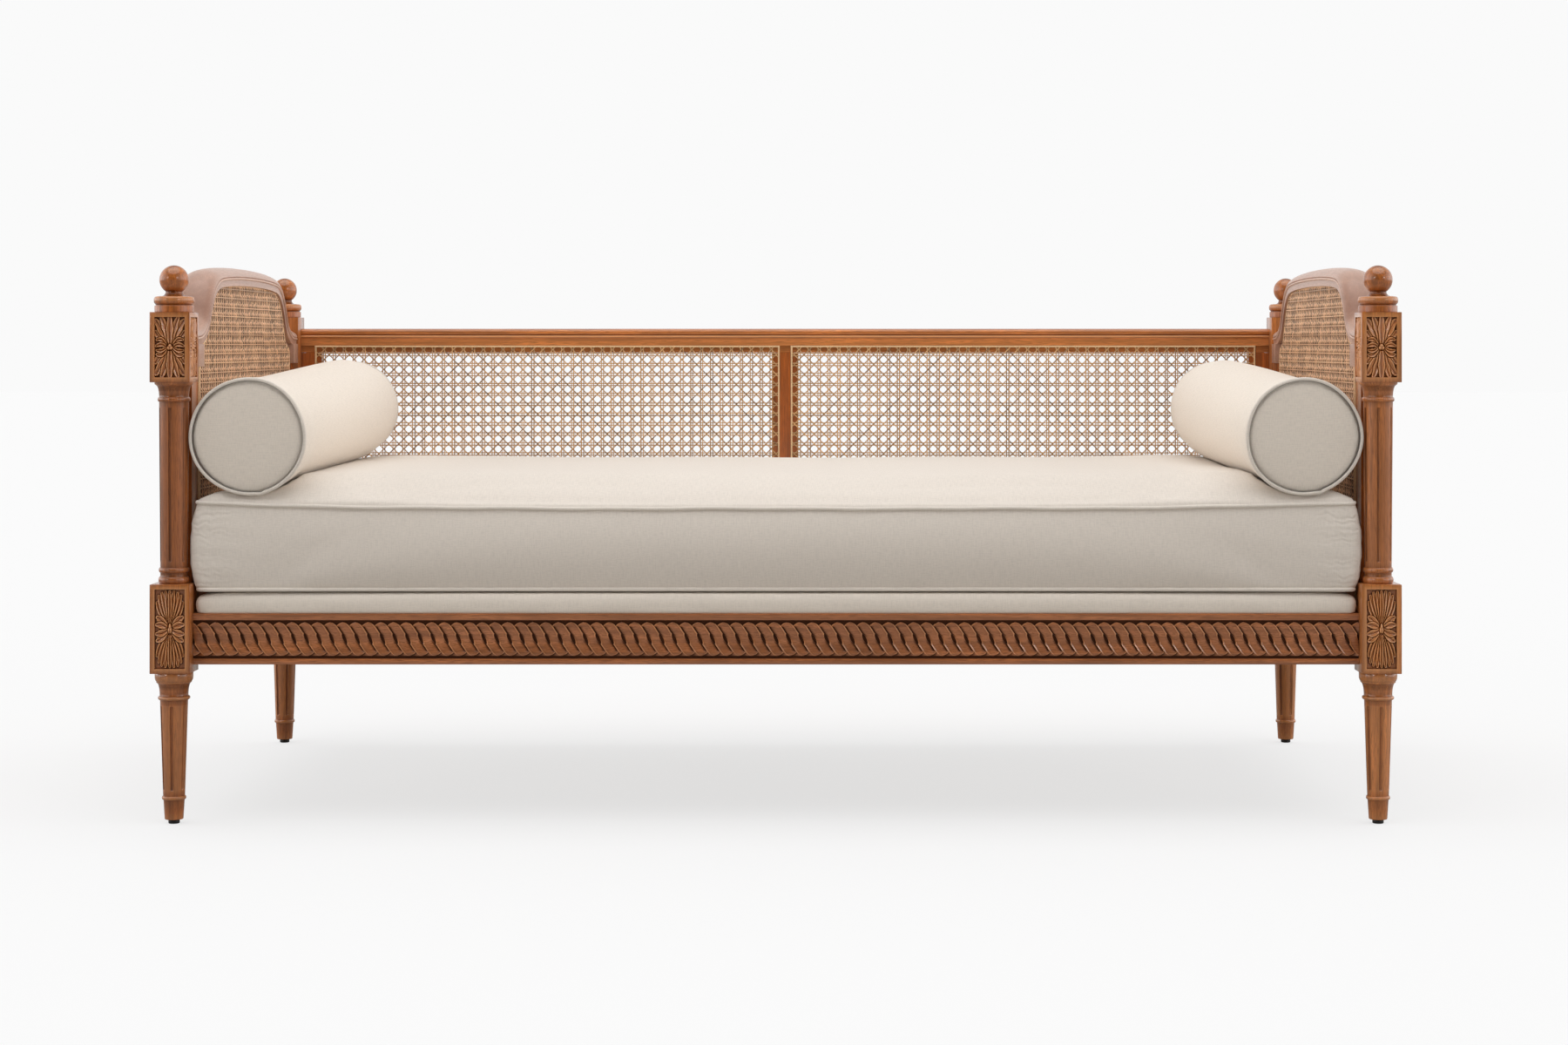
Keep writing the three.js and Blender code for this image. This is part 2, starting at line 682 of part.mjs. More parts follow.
const stile_tenon_y = middleOf([back_front, back_rear], tenon_thickness);
const stile_reach = top_rail_bottom + tenon_length;

function stileTenon([x0, x1]) {
  return [[x0 + tenon_shoulder, x1 - tenon_shoulder], stile_tenon_y, [top_rail_bottom - overrun, stile_reach]];
}

const side_stile_x = [inner_x - back_stile_width, inner_x - fit_gap];
const centre_stile_x = [-centre_half, centre_half];
const back_stiles = [
  ['back_left_stile', mirroredRange(side_stile_x, left), rail_top],
  ['back_centre_stile', centre_stile_x, back_opening_bottom],
  ['back_right_stile', side_stile_x, rail_top],
];
const back_y = [back_front, back_rear];
const lower_tenon_z = [back_opening_bottom - tenon_length, back_opening_bottom + overrun];
const centre_foot = [[-centre_half + tenon_shoulder, centre_half - tenon_shoulder], stile_tenon_y, lower_tenon_z];
const bottom_rail_end = [
  [back_opening_x[1] - overrun, back_opening_x[1] + tenon_length],
  stile_tenon_y,
  [rail_top + tenon_shoulder, back_opening_bottom - tenon_shoulder],
];

for (const [name, range_x, stile_bottom] of back_stiles) {
  let stile = box(range_x, back_y, [stile_bottom, top_rail_bottom - fit_gap]).add(box(...stileTenon(range_x)));
  if (name === 'back_centre_stile') {
    stile = box(range_x, back_y, [back_opening_bottom + fit_gap, top_rail_bottom - fit_gap]);
    stile = stile.add(box(...stileTenon(range_x))).add(box(...centre_foot));
  }
  const ends = grown(bottom_rail_end, fit_gap);
  stile = stile.subtract(joined([mirroredBox(ends, left, rear), mirroredBox(ends, right, rear)]));
  place(name, stile.subtract(back_rebates), oak);
}

const top_rail_ends = inner_x - fit_gap;
const top_rail = joined([
  prismAlongX(topRailSection(), [-top_rail_ends, top_rail_ends]),
  mirroredBox(top_tenon, left, rear),
  mirroredBox(top_tenon, right, rear),
]);
const stile_mortises = back_stiles.map(([, range_x]) => box(...grown(stileTenon(range_x), fit_gap)));
place('back_top_rail', top_rail.subtract(joined(stile_mortises)).subtract(back_rebates), oak);

const bottom_ends = back_opening_x[1] - fit_gap;
const back_bottom_rail = joined([
  box([-bottom_ends, bottom_ends], back_y, [rail_top, back_opening_bottom]),
  mirroredBox(bottom_rail_end, left, rear),
  mirroredBox(bottom_rail_end, right, rear),
]).subtract(box(...grown(centre_foot, fit_gap)));
place('back_bottom_rail', back_bottom_rail.subtract(back_rebates), oak);

// The square gaps of a coarse net; one that would cross the edge of the opening is left closed
function netGaps([u0, u1], [v0, v1], columns, rows, fits) {
  const pitch_u = (u1 - u0) / columns;
  const pitch_v = (v1 - v0) / rows;
  const gaps = [];
  for (let i = 0; i < columns; i += 1) {
    for (let j = 0; j < rows; j += 1) {
      const u = [u0 + i * pitch_u + net_bar / 2, u0 + (i + 1) * pitch_u - net_bar / 2];
      const v = [v0 + j * pitch_v + net_bar / 2, v0 + (j + 1) * pitch_v - net_bar / 2];
      if (rectangle(u, v).every((corner) => fits(corner))) gaps.push([u, v]);
    }
  }
  return gaps;
}

for (const [side_x, side_word] of [[left, 'left'], [right, 'right']]) {
  const rebate = mirroredOutline(back_rebate, side_x);
  const spline_y = [back_front, back_front + rebate_depth];
  const spline = prismAlongY(inset(rebate, fit_gap), spline_y, [inset(rebate, spline_width - fit_gap).reverse()]);
  place(`back_${side_word}_spline`, spline, oak);
  const net_x = mirroredRange(back_opening_x, side_x);
  const cane_y = [back_front + rebate_depth - cane_thickness, back_front + rebate_depth];
  const through_y = [back_front, back_rear];
  const gaps = netGaps(net_x, back_opening_z, back_net_columns, back_net_rows, () => true)
    .map(([x, z]) => box(x, through_y, z));
  const sheet = prismAlongY(inset(rebate, spline_width), cane_y);
  place(`back_${side_word}_cane`, sheet.subtract(joined(gaps)), cane);
}

// End frames. The crest's line runs from one post over the arch to the other, as [y, z]
function crestPoint([along, rise]) {
  return [-inner_y * (1 - along), crest_shoulder + crest_rise * rise];
}

const half_line = [...crest_shoulder_shares, ...crest_arch_shares].map(crestPoint);
const crest_line = [...half_line, ...half_line.slice(0, -1).reverse().map(([y, z]) => [-y, z])];

// The normal of the crest's line at a point, pointing up and out
function crestNormal(i) {
  const before = crest_line[Math.max(i - 1, 0)];
  const after = crest_line[Math.min(i + 1, crest_line.length - 1)];
  const along = new THREE.Vector2(after[0] - before[0], after[1] - before[1]).normalize();
  const is_end = i === 0 || i === crest_line.length - 1;
  return is_end ? new THREE.Vector2(0, 1) : new THREE.Vector2(-along.y, along.x);
}

function crestOffset(i, distance) {
  const normal = crestNormal(i);
  return [crest_line[i][0] + normal.x * distance, crest_line[i][1] + normal.y * distance];
}

// The cane's rebate: upright sides, a notch under each shoulder, then the line of the arch
function endRebateOutline() {
  const side = inner_y - end_stile_width + rebate_width;
  const notch = crest_shoulder - notch_drop;
  const first = crest_shoulder_shares.length;
  const arch = [];
  for (let i = first; i < crest_line.length - first; i += 1) arch.push(crestOffset(i, -crest_band));
  const leg = arch[0];
  const run = side + leg[0];
  const half = [
    [-side, end_opening_bottom - rebate_width],
    [-side, notch - notch_radius],
    [-side + notch_radius * (1 - Math.SQRT1_2), notch - notch_radius * (1 - Math.SQRT1_2)],
    [-side + notch_radius, notch],
    [-side + run * notch_run_share, notch + notch_radius / 3],
  ];
  const other = half.map(([y, z]) => [-y, z]).reverse();
  return [...half, ...arch, ...other].reverse();
}

const end_rebate = endRebateOutline();
const end_opening = inset(end_rebate, rebate_width);

// True where a point [y, z] lies inside the end opening
function isInEndOpening([y, z]) {
  let is_inside = false;
  end_opening.forEach(([y1, z1], i) => {
    const [y0, z0] = end_opening[(i + 1) % end_opening.length];
    const crosses = (z0 > z) !== (z1 > z);
    if (crosses && y < (y1 - y0) * (z - z0) / (z1 - z0) + y0) is_inside = !is_inside;
  });
  return is_inside;
}

// The crest's section at one point of its line, flat below the line and crowned above it
function crestRing(i, side_x) {
  const normal = crestNormal(i);
  const [y, z] = crest_line[i];
  const half = crest_section_shares.map(([rise, across]) => [rise * crest_crown, across * post_side]);
  const other = half.slice(0, -1).map(([rise, across]) => [rise, post_side - across]).reverse();
  const foot = -crest_band - overrun;
  const section = [[foot, 0], ...half, ...other, [foot, post_side]];
  const ring = section.map(([rise, across]) => [
    side_x * (inner_x + across), y + normal.x * rise, z + normal.y * rise,
  ]);
  return side_x > 0 ? ring : ring.reverse();
}

function crest(side_x) {
  const last = crest_line.length - 1;
  const rings = crest_line.map((point, i) => crestRing(i, side_x));
  for (const [i, sign] of [[0, -1], [last, 1]]) {
    rings[i] = rings[i].map(([x, , z]) => [x, sign * (inner_y - fit_gap), z]);
  }
  const across = mirroredRange([inner_x, outer_x], side_x);
  const ledge_x = mirroredRange([end_frame_inner, end_frame_outer], side_x);
  const shoulder_z = [crest_joint, crest_shoulder];
  const shoulder_y = [inner_y - end_stile_width + rebate_width, inner_y - fit_gap];
  const below = box(grown([across], overrun)[0], [-inner_y, inner_y], [rail_top, crest_joint]);
  const ledge = prismAlongX(inset(end_rebate, -crest_band / 2), ledge_x)
    .subtract(prismAlongX(end_opening, grown([ledge_x], overrun)[0]))
    .subtract(below);
  const solid = joined([
    loft(rings),
    box(across, mirroredRange(shoulder_y, front), shoulder_z),
    box(across, shoulder_y, shoulder_z),
    ledge,
    mirroredBox(crest_tenon, side_x, front),
    mirroredBox(crest_tenon, side_x, rear),
  ]);
  const inner_cut = mirroredRange([inner_x - overrun, end_frame_inner + rebate_depth], side_x);
  const outer_cut = mirroredRange([end_frame_outer, outer_x + overrun], side_x);
  return solid.subtract(prismAlongX(end_rebate, inner_cut)).subtract(prismAlongX(end_rebate, outer_cut));
}

const stile_range_y = [inner_y - end_stile_width, inner_y - fit_gap];
const end_tenon_x = middleOf([end_frame_inner, end_frame_outer], tenon_thickness);
const stile_head = [
  end_tenon_x,
  [stile_range_y[0] + rebate_width + tenon_shoulder, stile_range_y[1] - tenon_shoulder],
  [crest_joint - overrun, crest_joint + tenon_length],
];
const end_rail_tenon = [
  end_tenon_x,
  [stile_range_y[0] - overrun, stile_range_y[0] + tenon_length],
  [rail_top + tenon_shoulder, end_opening_bottom - rebate_width - tenon_shoulder],
];

for (const [side_x, side_word] of [[left, 'left'], [right, 'right']]) {
  const frame_x = mirroredRange([end_frame_inner, end_frame_outer], side_x);
  const inner_cut = mirroredRange([end_frame_inner - overrun, end_frame_inner + rebate_depth], side_x);
  const rebate = prismAlongX(end_rebate, inner_cut);
  const heads = [front, rear].map((side_y) => mirroredBox(grown(stile_head, fit_gap), side_x, side_y));
  place(`${side_word}_crest_rail`, crest(side_x).subtract(joined(heads)), oak);
  for (const [side_y, end_word] of [[front, 'front'], [rear, 'rear']]) {
    const range_y = mirroredRange(stile_range_y, side_y);
    const stile = box(frame_x, range_y, [rail_top, crest_joint - fit_gap])
      .add(mirroredBox(stile_head, side_x, side_y))
      .subtract(mirroredBox(grown(end_rail_tenon, fit_gap), side_x, side_y))
      .subtract(rebate);
    place(`${side_word}_end_${end_word}_stile`, stile, oak);
  }
  const rail_ends = stile_range_y[0] - fit_gap;
  const bottom_rail = joined([
    box(frame_x, [-rail_ends, rail_ends], [rail_top, end_opening_bottom]),
    mirroredBox(end_rail_tenon, side_x, front),
    mirroredBox(end_rail_tenon, side_x, rear),
  ]);
  place(`${side_word}_end_bottom_rail`, bottom_rail.subtract(rebate), oak);
  const spline_x = mirroredRange([end_frame_inner, end_frame_inner + rebate_depth], side_x);
  const ring = inset(end_rebate, fit_gap);
  const spline = prismAlongX(ring, spline_x, [inset(end_rebate, spline_width - fit_gap).reverse()]);
  place(`${side_word}_end_spline`, spline, oak);
  const widest = inner_y - end_stile_width;
  const net_z = [end_opening_bottom, crest_shoulder + crest_rise - crest_band - rebate_width];
  const gaps = netGaps([-widest, widest], net_z, end_net_columns, end_net_rows, isInEndOpening)
    .map(([y, z]) => box(frame_x, y, z));
  const cane_x = mirroredRange(
    [end_frame_inner + rebate_depth - cane_thickness, end_frame_inner + rebate_depth], side_x,
  );
  const sheet = prismAlongX(inset(end_rebate, spline_width), cane_x);
  place(`${side_word}_end_cane`, sheet.subtract(joined(gaps)), cane);
}

// Soft pieces. A padded slab's outline: rounded corners, and sides drawn in between them
function paddedOutline(half_x, half_y, radius, draw_in) {
  const [along_long, along_short] = cushion_points_per_side;
  const points = [];
  const corner_steps = 3;
  const corners = [[1, 1, 0], [-1, 1, 1], [-1, -1, 2], [1, -1, 3]];
  for (const [sx, sy, quarter] of corners) {
    for (let i = 0; i <= corner_steps; i += 1) {
      const angle = Math.PI / 2 * (quarter + i / corner_steps);
      points.push([
        sx * (half_x - radius) + radius * Math.cos(angle), sy * (half_y - radius) + radius * Math.sin(angle),
      ]);
    }
    const is_long = quarter % 2 === 0;
    const count = is_long ? along_long : along_short;
    for (let i = 1; i < count; i += 1) {
      const t = 1 - 2 * i / count;
      const pull = draw_in * (1 - t ** 4);
      if (is_long) points.push([sx * t * (half_x - radius), sy * (half_y - pull)]);
      else points.push([sx * (half_x - pull), sy * t * (half_y - radius)]);
    }
  }
  return points;
}

// The same outline moved in by a distance, kept clear of folding over at the corners
function drawnIn(outline, half_x, half_y, distance) {
  return outline.map(([x, y]) => [x * (1 - distance / half_x), y * (1 - distance / half_y)]);
}

function deckPad() {
  const half_y = (deck_rear - deck_front) / 2;
  const outline = paddedOutline(deck_half_length, half_y, deck_edge_radius, 0);
  const ring = (distance, z) => drawnIn(outline, deck_half_length, half_y, distance).map(([x, y]) => [x, y, z]);
  const pad = loft([
    ring(deck_edge_radius / 6, 0),
    ring(0, deck_edge_radius / 3),
    ring(0, deck_height - deck_edge_radius),
    ring(deck_edge_radius / 3, deck_height - deck_edge_radius / 4),
    ring(deck_edge_radius, deck_height),
  ]);
  return pad.translate([0, (deck_front + deck_rear) / 2, rail_top]);
}

const board_x = deck_half_length - cover_thickness;
const board_y = [deck_front + cover_thickness, deck_rear - cover_thickness];
const board_z = [rail_top, rail_top + board_thickness];
const board_pocket = box(...grown([[-board_x, board_x], board_y, board_z], fit_gap));
place('deck_pad', deckPad().subtract(board_pocket), linen);
place('deck_board', box([-board_x, board_x], board_y, board_z), plywood);

// The cushion: tucked bottom edge, welts, bulging side and a crown that is steep at the edge and flat in the middle
function cushionSolid() {
  const half_x = inner_x - cushion_end_gap;
  const y0 = -outer_y + rail_setback - cushion_front_overhang;
  const y1 = back_front - cushion_back_gap;
  const half_y = (y1 - y0) / 2;
  const outline = paddedOutline(half_x, half_y, cushion_corner_radius, cushion_draw_in);
  const welt = welt_diameter / 2;
  const lift = (x) => cushion_end_lift * (x / half_x) ** 4;
  const level = (distance, z, lifted) => drawnIn(outline, half_x, half_y, distance)
    .map(([x, y]) => [x, y, z + (lifted ? lift(x) : 0)]);
  const seam = cushion_side_height;
  const rings = [
    level(cushion_bottom_tuck, 0, false),
    level(cushion_bottom_tuck / 2, welt, false),
    level(welt, 2 * welt, false),
    level(cushion_bulge + welt, 3 * welt, false),
    level(0, seam / 2, false),
    level(cushion_bulge + welt / 2, seam - 2 * welt, true),
    level(cushion_bulge - welt / 2, seam - welt, true),
    level(cushion_bulge + welt, seam, true),
  ];
  for (const share of cushion_crown_ring_shares) {
    const rise = cushion_crown * (1 - share ** cushion_crown_power);
    rings.push(outline.map(([x, y]) => [x * share, y * share, seam + rise + lift(x * share)]));
  }
  return loft(rings).translate([0, (y0 + y1) / 2, cushion_bottom]);
}

// A bolster about the Z axis, from its front disc back, with a welt round each disc
function bolsterSolid(swell) {
  const radius = bolster_diameter / 2 + swell;
  const welt = welt_diameter / 2;
  const start = [
    [0, -bolster_disc_crown - swell],
    [radius / 2, -bolster_disc_crown * 0.8 - swell],
    [radius - bolster_edge_radius - welt, -swell],
    [radius - bolster_edge_radius / 2, welt / 2],
    [radius, welt * 1.5],
    [radius - welt / 2, welt * 2.5],
    [radius - welt / 2, bolster_length / 4],
  ];
  const end = start.map(([r, z]) => [r, bolster_length - z]).reverse();
  return turned([...start, ...end], bolster_sides);
}

function bolsterAxis(side_x) {
  const radius = bolster_diameter / 2;
  const x = post_x - column_top_diameter / 2 - bolster_column_gap - radius;
  const start = new THREE.Vector3(side_x * x, bolster_front, cushion_top - bolster_sink + radius);
  const direction = new THREE.Vector3(-side_x * bolster_toe_in, bolster_run, bolster_axis_rise).normalize();
  const turn = new THREE.Quaternion().setFromUnitVectors(new THREE.Vector3(0, 0, 1), direction);
  return new THREE.Matrix4().compose(start, turn, new THREE.Vector3(1, 1, 1));
}

function placedBolster(side_x, swell) {
  return solidOf(geometryOf(bolsterSolid(swell)).applyMatrix4(bolsterAxis(side_x)));
}

const beds = joined([placedBolster(left, fit_gap), placedBolster(right, fit_gap)]);
place('seat_cushion', cushionSolid().subtract(beds), linen);
place('left_bolster', placedBolster(left, 0), linen);
place('right_bolster', placedBolster(right, 0), linen);

export default daybed;
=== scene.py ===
"""Looks of a cane-panelled daybed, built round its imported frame. Metres; +Z is up and the front faces -Y."""
import functools
import math

import bmesh
import bpy
import numpy as np
from mathutils import Matrix, Vector
from mathutils.bvhtree import BVHTree


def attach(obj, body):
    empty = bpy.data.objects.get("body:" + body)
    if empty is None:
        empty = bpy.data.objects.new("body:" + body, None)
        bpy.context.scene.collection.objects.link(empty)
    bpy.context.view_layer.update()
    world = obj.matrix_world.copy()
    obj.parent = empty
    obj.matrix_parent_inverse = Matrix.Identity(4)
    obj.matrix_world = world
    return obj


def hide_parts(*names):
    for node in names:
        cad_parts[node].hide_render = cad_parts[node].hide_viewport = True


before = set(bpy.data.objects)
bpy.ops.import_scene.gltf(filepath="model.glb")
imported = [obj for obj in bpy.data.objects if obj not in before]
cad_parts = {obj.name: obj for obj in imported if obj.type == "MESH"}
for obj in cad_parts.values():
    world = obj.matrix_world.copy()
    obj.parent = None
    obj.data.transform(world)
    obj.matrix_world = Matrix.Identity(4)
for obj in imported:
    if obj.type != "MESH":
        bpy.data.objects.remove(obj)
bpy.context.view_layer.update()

bl_info = {
    "name": "Cane daybed",
    "version": (1, 0, 0),
    "blender": (4, 5, 0),
    "location": "View3D > Sidebar > Daybed",
    "description": "Builds the carved frame, woven cane and linen upholstery of a daybed",
    "category": "Object",
}

MM = 0.001

# Plan and levels of the frame, in millimetres
POST_X, POST_Y = 982.5, 467.5
BLOCK = 65.0
INNER_X, OUTER_X = 950.0, 1015.0
INNER_Y, OUTER_Y = 435.0, 500.0
LOWER_BLOCK = (247.0, 392.0)
UPPER_BLOCK = (720.0, 834.0)
FIT_GAP = 0.3
PANEL_MARGIN, PANEL_DEPTH = 8.0, 5.0
RAIL = (260.0, 343.0)
FILLET, LOW_FILLET = 11.0, 9.4
SIDE_WORDS = ((-1, "left"), (1, "right"))
END_WORDS = ((-1, "front"), (1, "rear"))
CORNERS = tuple((f"{end_word}_{word}", side, end) for side, word in SIDE_WORDS for end, end_word in END_WORDS)
# Relief value of a surface that is neither a hollow nor a worn edge, and carries no painted shade or highlight
LEVEL = 0.6

# Back frame
BACK_FRONT, BACK_REAR = 467.5, 495.5
TOP_RAIL = (765.0, 812.0)
BACK_OPENING = ((24.5, 910.0), (420.0, 765.0))
REBATE, REBATE_DEPTH = 14.0, 3.0
# How far the cane stops from the rebate's edge, under the spline
CANE_INSET = 2.5

# End frames: half of the crest's bead line and of the cane's rebate, as (y, z) from the front post to the
# middle
END_INNER, END_OUTER = 961.0, 1004.0
CREST_JOINT = 745.0
CREST_BAND, CREST_CROWN = 13.0, 18.0
# How far the crest's flat band lies back from its bead, and how far the cane stands forward in its rebate
CREST_FACE, CANE_SEAT = 3.4, -2.0
CREST_HALF = (
    (-434.7, 793), (-420, 793), (-400, 794.4), (-383, 798), (-366, 804.6), (-350, 814), (-338, 828),
    (-328, 842.5), (-316, 857), (-302, 870), (-287, 879.5), (-268, 887), (-244, 891.8), (-190, 895.6),
    (-117, 897.9), (-50, 898.9), (0, 899))
REBATE_HALF = (
    (-391, 409), (-391, 600), (-391, 752), (-390, 764), (-385, 773), (-373, 778), (-361, 780.5), (-349, 787),
    (-338, 802), (-328, 820), (-318, 834.5), (-306, 848), (-293, 859.5), (-279, 868), (-262, 874.5),
    (-240, 879), (-188, 882.6), (-117, 884.9), (-50, 885.9), (0, 886))

# Soft pieces
DECK = ((-940.0, 940.0), (-478.0, 461.5), (343.0, 376.5))
CUSHION_HALF_X = 947.0
CUSHION_Y = (-485.0, 462.5)
CUSHION_BOTTOM = 376.8
CUSHION_SIDE, CUSHION_CROWN = 137.0, 46.0
CUSHION_END_LIFT = 10.0
CUSHION_CORNER, CUSHION_DRAW_IN = 13.0, 5.0
CUSHION_HALF_Y, CUSHION_MID_Y = (CUSHION_Y[1] - CUSHION_Y[0]) / 2, sum(CUSHION_Y) / 2
CUSHION_SEAM = CUSHION_BOTTOM + CUSHION_SIDE
BOLSTER_RADIUS = 95.0
BOLSTER_START = (860.0, -480.0, 631.5)
BOLSTER_END = (835.0, 383.5, 658.5)


def linear(hex_colour):
    """An sRGB hex colour as linear red, green and blue."""
    parts = [int(hex_colour[i:i + 2], 16) / 255 for i in (1, 3, 5)]
    return [c / 12.92 if c <= 0.04045 else ((c + 0.055) / 1.055) ** 2.4 for c in parts]


class DaybedSizes(bpy.types.PropertyGroup):
    """Sizes of the carving, weaving and sewing that a user may change."""
    rope_pitch: bpy.props.FloatProperty(
        name="Rope pitch", description="Length along the rail that each strand of the rope carving takes",
        default=0.02067, min=0.01, unit="LENGTH", subtype="DISTANCE")
    rope_relief: bpy.props.FloatProperty(
        name="Rope relief", description="Height of the rope strands over the sunk ground",
        default=0.0046, unit="LENGTH", subtype="DISTANCE")
    leaf_relief: bpy.props.FloatProperty(
        name="Leaf relief", description="Height of the carved leaves over the sunk ground",
        default=0.0046, unit="LENGTH", subtype="DISTANCE")
    flute_width: bpy.props.FloatProperty(
        name="Flute width", description="Width of each flute of the legs and columns",
        default=0.0056, unit="LENGTH", subtype="DISTANCE")
    flute_depth: bpy.props.FloatProperty(
        name="Flute depth", description="Depth of each flute of the legs and columns",
        default=0.0021, unit="LENGTH", subtype="DISTANCE")
    cane_pitch: bpy.props.FloatProperty(
        name="Cane pitch", description="Distance between the round holes of the woven cane",
        default=0.0195, min=0.01, unit="LENGTH", subtype="DISTANCE")
    strand_width: bpy.props.FloatProperty(
        name="Strand width", description="Width of one strand of split cane",
        default=0.0019, unit="LENGTH", subtype="DISTANCE")
    welt_diameter: bpy.props.FloatProperty(
        name="Welt diameter", description="Thickness of the covered cord in the seams",
        default=0.0065, unit="LENGTH", subtype="DISTANCE")
    thread_spacing: bpy.props.FloatProperty(
        name="Thread spacing", description="Distance between the threads of the linen",
        default=0.0016, unit="LENGTH", subtype="DISTANCE")


class DaybedColours(bpy.types.PropertyGroup):
    """Colours of the finishes that a user may change."""
    stain: bpy.props.FloatVectorProperty(
        name="Oak stain", description="Warm brown of the stained oak",
        default=linear("#b26835"), size=3, min=0, max=1, subtype="COLOR")
    # The glaze's colour also draws the painted shade in hollows, on shaded sides and beside rims
    glaze_and_shade: bpy.props.FloatVectorProperty(
        name="Antique glaze", description="Dark glaze left in the hollows of the carving",
        default=linear("#32180b"), size=3, min=0, max=1, subtype="COLOR")
    cane: bpy.props.FloatVectorProperty(
        name="Cane", description="Golden skin of the split rattan",
        default=linear("#efc79c"), size=3, min=0, max=1, subtype="COLOR")
    linen: bpy.props.FloatVectorProperty(
        name="Linen", description="Pale greige of the upholstery linen",
        default=linear("#e7ddd2"), size=3, min=0, max=1, subtype="COLOR")


def sizes():
    return bpy.context.scene.daybed_sizes


def colours():
    return bpy.context.scene.daybed_colours


# Meshes

def lattice(rows, columns):
    """Quads between rows of equally many points, where each row's last point joins its first."""
    grid = np.arange(rows * columns).reshape(rows, columns)
    after = np.roll(grid, -1, axis=1)
    return np.stack([grid[:-1], after[:-1], after[1:], grid[1:]], axis=-1).reshape(-1, 4)


class Skins:
    """Skins in millimetres that make one piece, closed apart from the rope band's, with a relief value of 0
    in hollows and painted shade, and 1 on worn edges and painted highlights."""

    def __init__(self):
        self.points, self.relief, self.faces, self.count = [], [], [], 0

    def add(self, points, faces, relief=LEVEL, at=(0, 0, 0)):
        points = np.asarray(points, float).reshape(-1, 3) + np.asarray(at, float)
        self.faces += [tuple(int(i) + self.count for i in face) for face in faces]
        self.points.append(points)
        self.relief.append(np.broadcast_to(np.asarray(relief, float).ravel(), (len(points),)))
        self.count += len(points)

    def add_loft(self, rows, relief=LEVEL, at=(0, 0, 0), closed_path=False):
        """Rings of equally many points, skinned; the ends of an open path get a flat cap."""
        rows = np.asarray(rows, float)
        count, columns = rows.shape[:2]
        if closed_path:
            faces = [tuple(face % (count * columns)) for face in lattice(count + 1, columns)]
            self.add(rows, faces, relief, at)
            return
        faces = [tuple(face) for face in lattice(count, columns)]
        faces.append(tuple(range(columns))[::-1])
        faces.append(tuple(range((count - 1) * columns, count * columns)))
        self.add(rows, faces, relief, at)

    def add_box(self, low, high, ease, relief):
        """A box with eased edges."""
        bm = bmesh.new()
        bmesh.ops.create_cube(bm, size=1)
        for vert in bm.verts:
            vert.co = [lo if c < 0 else hi for c, lo, hi in zip(vert.co, low, high)]
        bmesh.ops.bevel(bm, geom=bm.edges[:], offset=ease, segments=2, profile=0.5, affect="EDGES")
        layer = bm.verts.layers.float.new("relief")
        for vert in bm.verts:
            vert[layer] = relief
        self.add_bmesh(bm)

    def add_bmesh(self, bm, at=(0, 0, 0)):
        layer = bm.verts.layers.float.get("relief")
        bm.verts.index_update()
        points = [vert.co[:] for vert in bm.verts]
        relief = [vert[layer] for vert in bm.verts] if layer else LEVEL
        self.add(points, [[v.index for v in face.verts] for face in bm.faces], relief, at)
        bm.free()


def make_piece(name, skins, material, body="root", replaces=(), sharp_degrees=35):
    """A Blender object of the skins, with its finish, that rides on a body and stands for CAD nodes."""
    mesh = bpy.data.meshes.new(name)
    mesh.from_pydata(np.concatenate(skins.points) * MM, [], skins.faces)
    mesh.attributes.new("relief", "FLOAT", "POINT").data.foreach_set("value", np.concatenate(skins.relief))
    mesh.shade_smooth()
    mesh.set_sharp_from_angle(angle=math.radians(sharp_degrees))
    mesh.materials.append(material)
    piece = bpy.data.objects.new(name, mesh)
    bpy.context.scene.collection.objects.link(piece)
    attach(piece, body)
    if replaces:
        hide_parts(*replaces)
    return piece


def smooth_line(points, step):
    """A soft curve through the points, resampled at about that step."""
    points = np.asarray(points, float)
    padded = np.vstack([2 * points[0] - points[1], points, 2 * points[-1] - points[-2]])
    line = []
    for i in range(1, len(padded) - 2):
        a, b, c, d = padded[i - 1:i + 3]
        t = np.linspace(0, 1, max(2, int(np.ceil(np.linalg.norm(c - b) / step)) + 1))[:-1, None]
        line.append(0.5 * (2 * b + (c - a) * t + (2 * a - 5 * b + 4 * c - d) * t ** 2
                           + (3 * b - a - 3 * c + d) * t ** 3))
    return np.vstack([*line, points[-1:]])


def mirrored_line(half):
    """Half of a line that ends on the middle plane, continued to the other side."""
    return np.vstack([half, (half[:-1] * [-1, 1])[::-1]])


def line_normals(line):
    """Normals of a line in its plane, to the left of its run."""
    along = np.gradient(line, axis=0)
    along /= np.linalg.norm(along, axis=1)[:, None]
    return np.stack([-along[:, 1], along[:, 0]], axis=1)


# Finishes

RAMP, NOISE, MATH, MIX = "ShaderNodeValToRGB", "ShaderNodeTexNoise", "ShaderNodeMath", "ShaderNodeMix"
SHADER, MAPPING, BUMP = "ShaderNodeBsdfPrincipled", "ShaderNodeMapping", "ShaderNodeBump"
ATTRIBUTE, PLACE = "ShaderNodeAttribute", "ShaderNodeTexCoord"
# Settings of a mix that lays one colour over another as a stain does
OVERLAY = {"data_type": "RGBA", "blend_type": "MULTIPLY", "inputs": {"Factor": 1.0}}


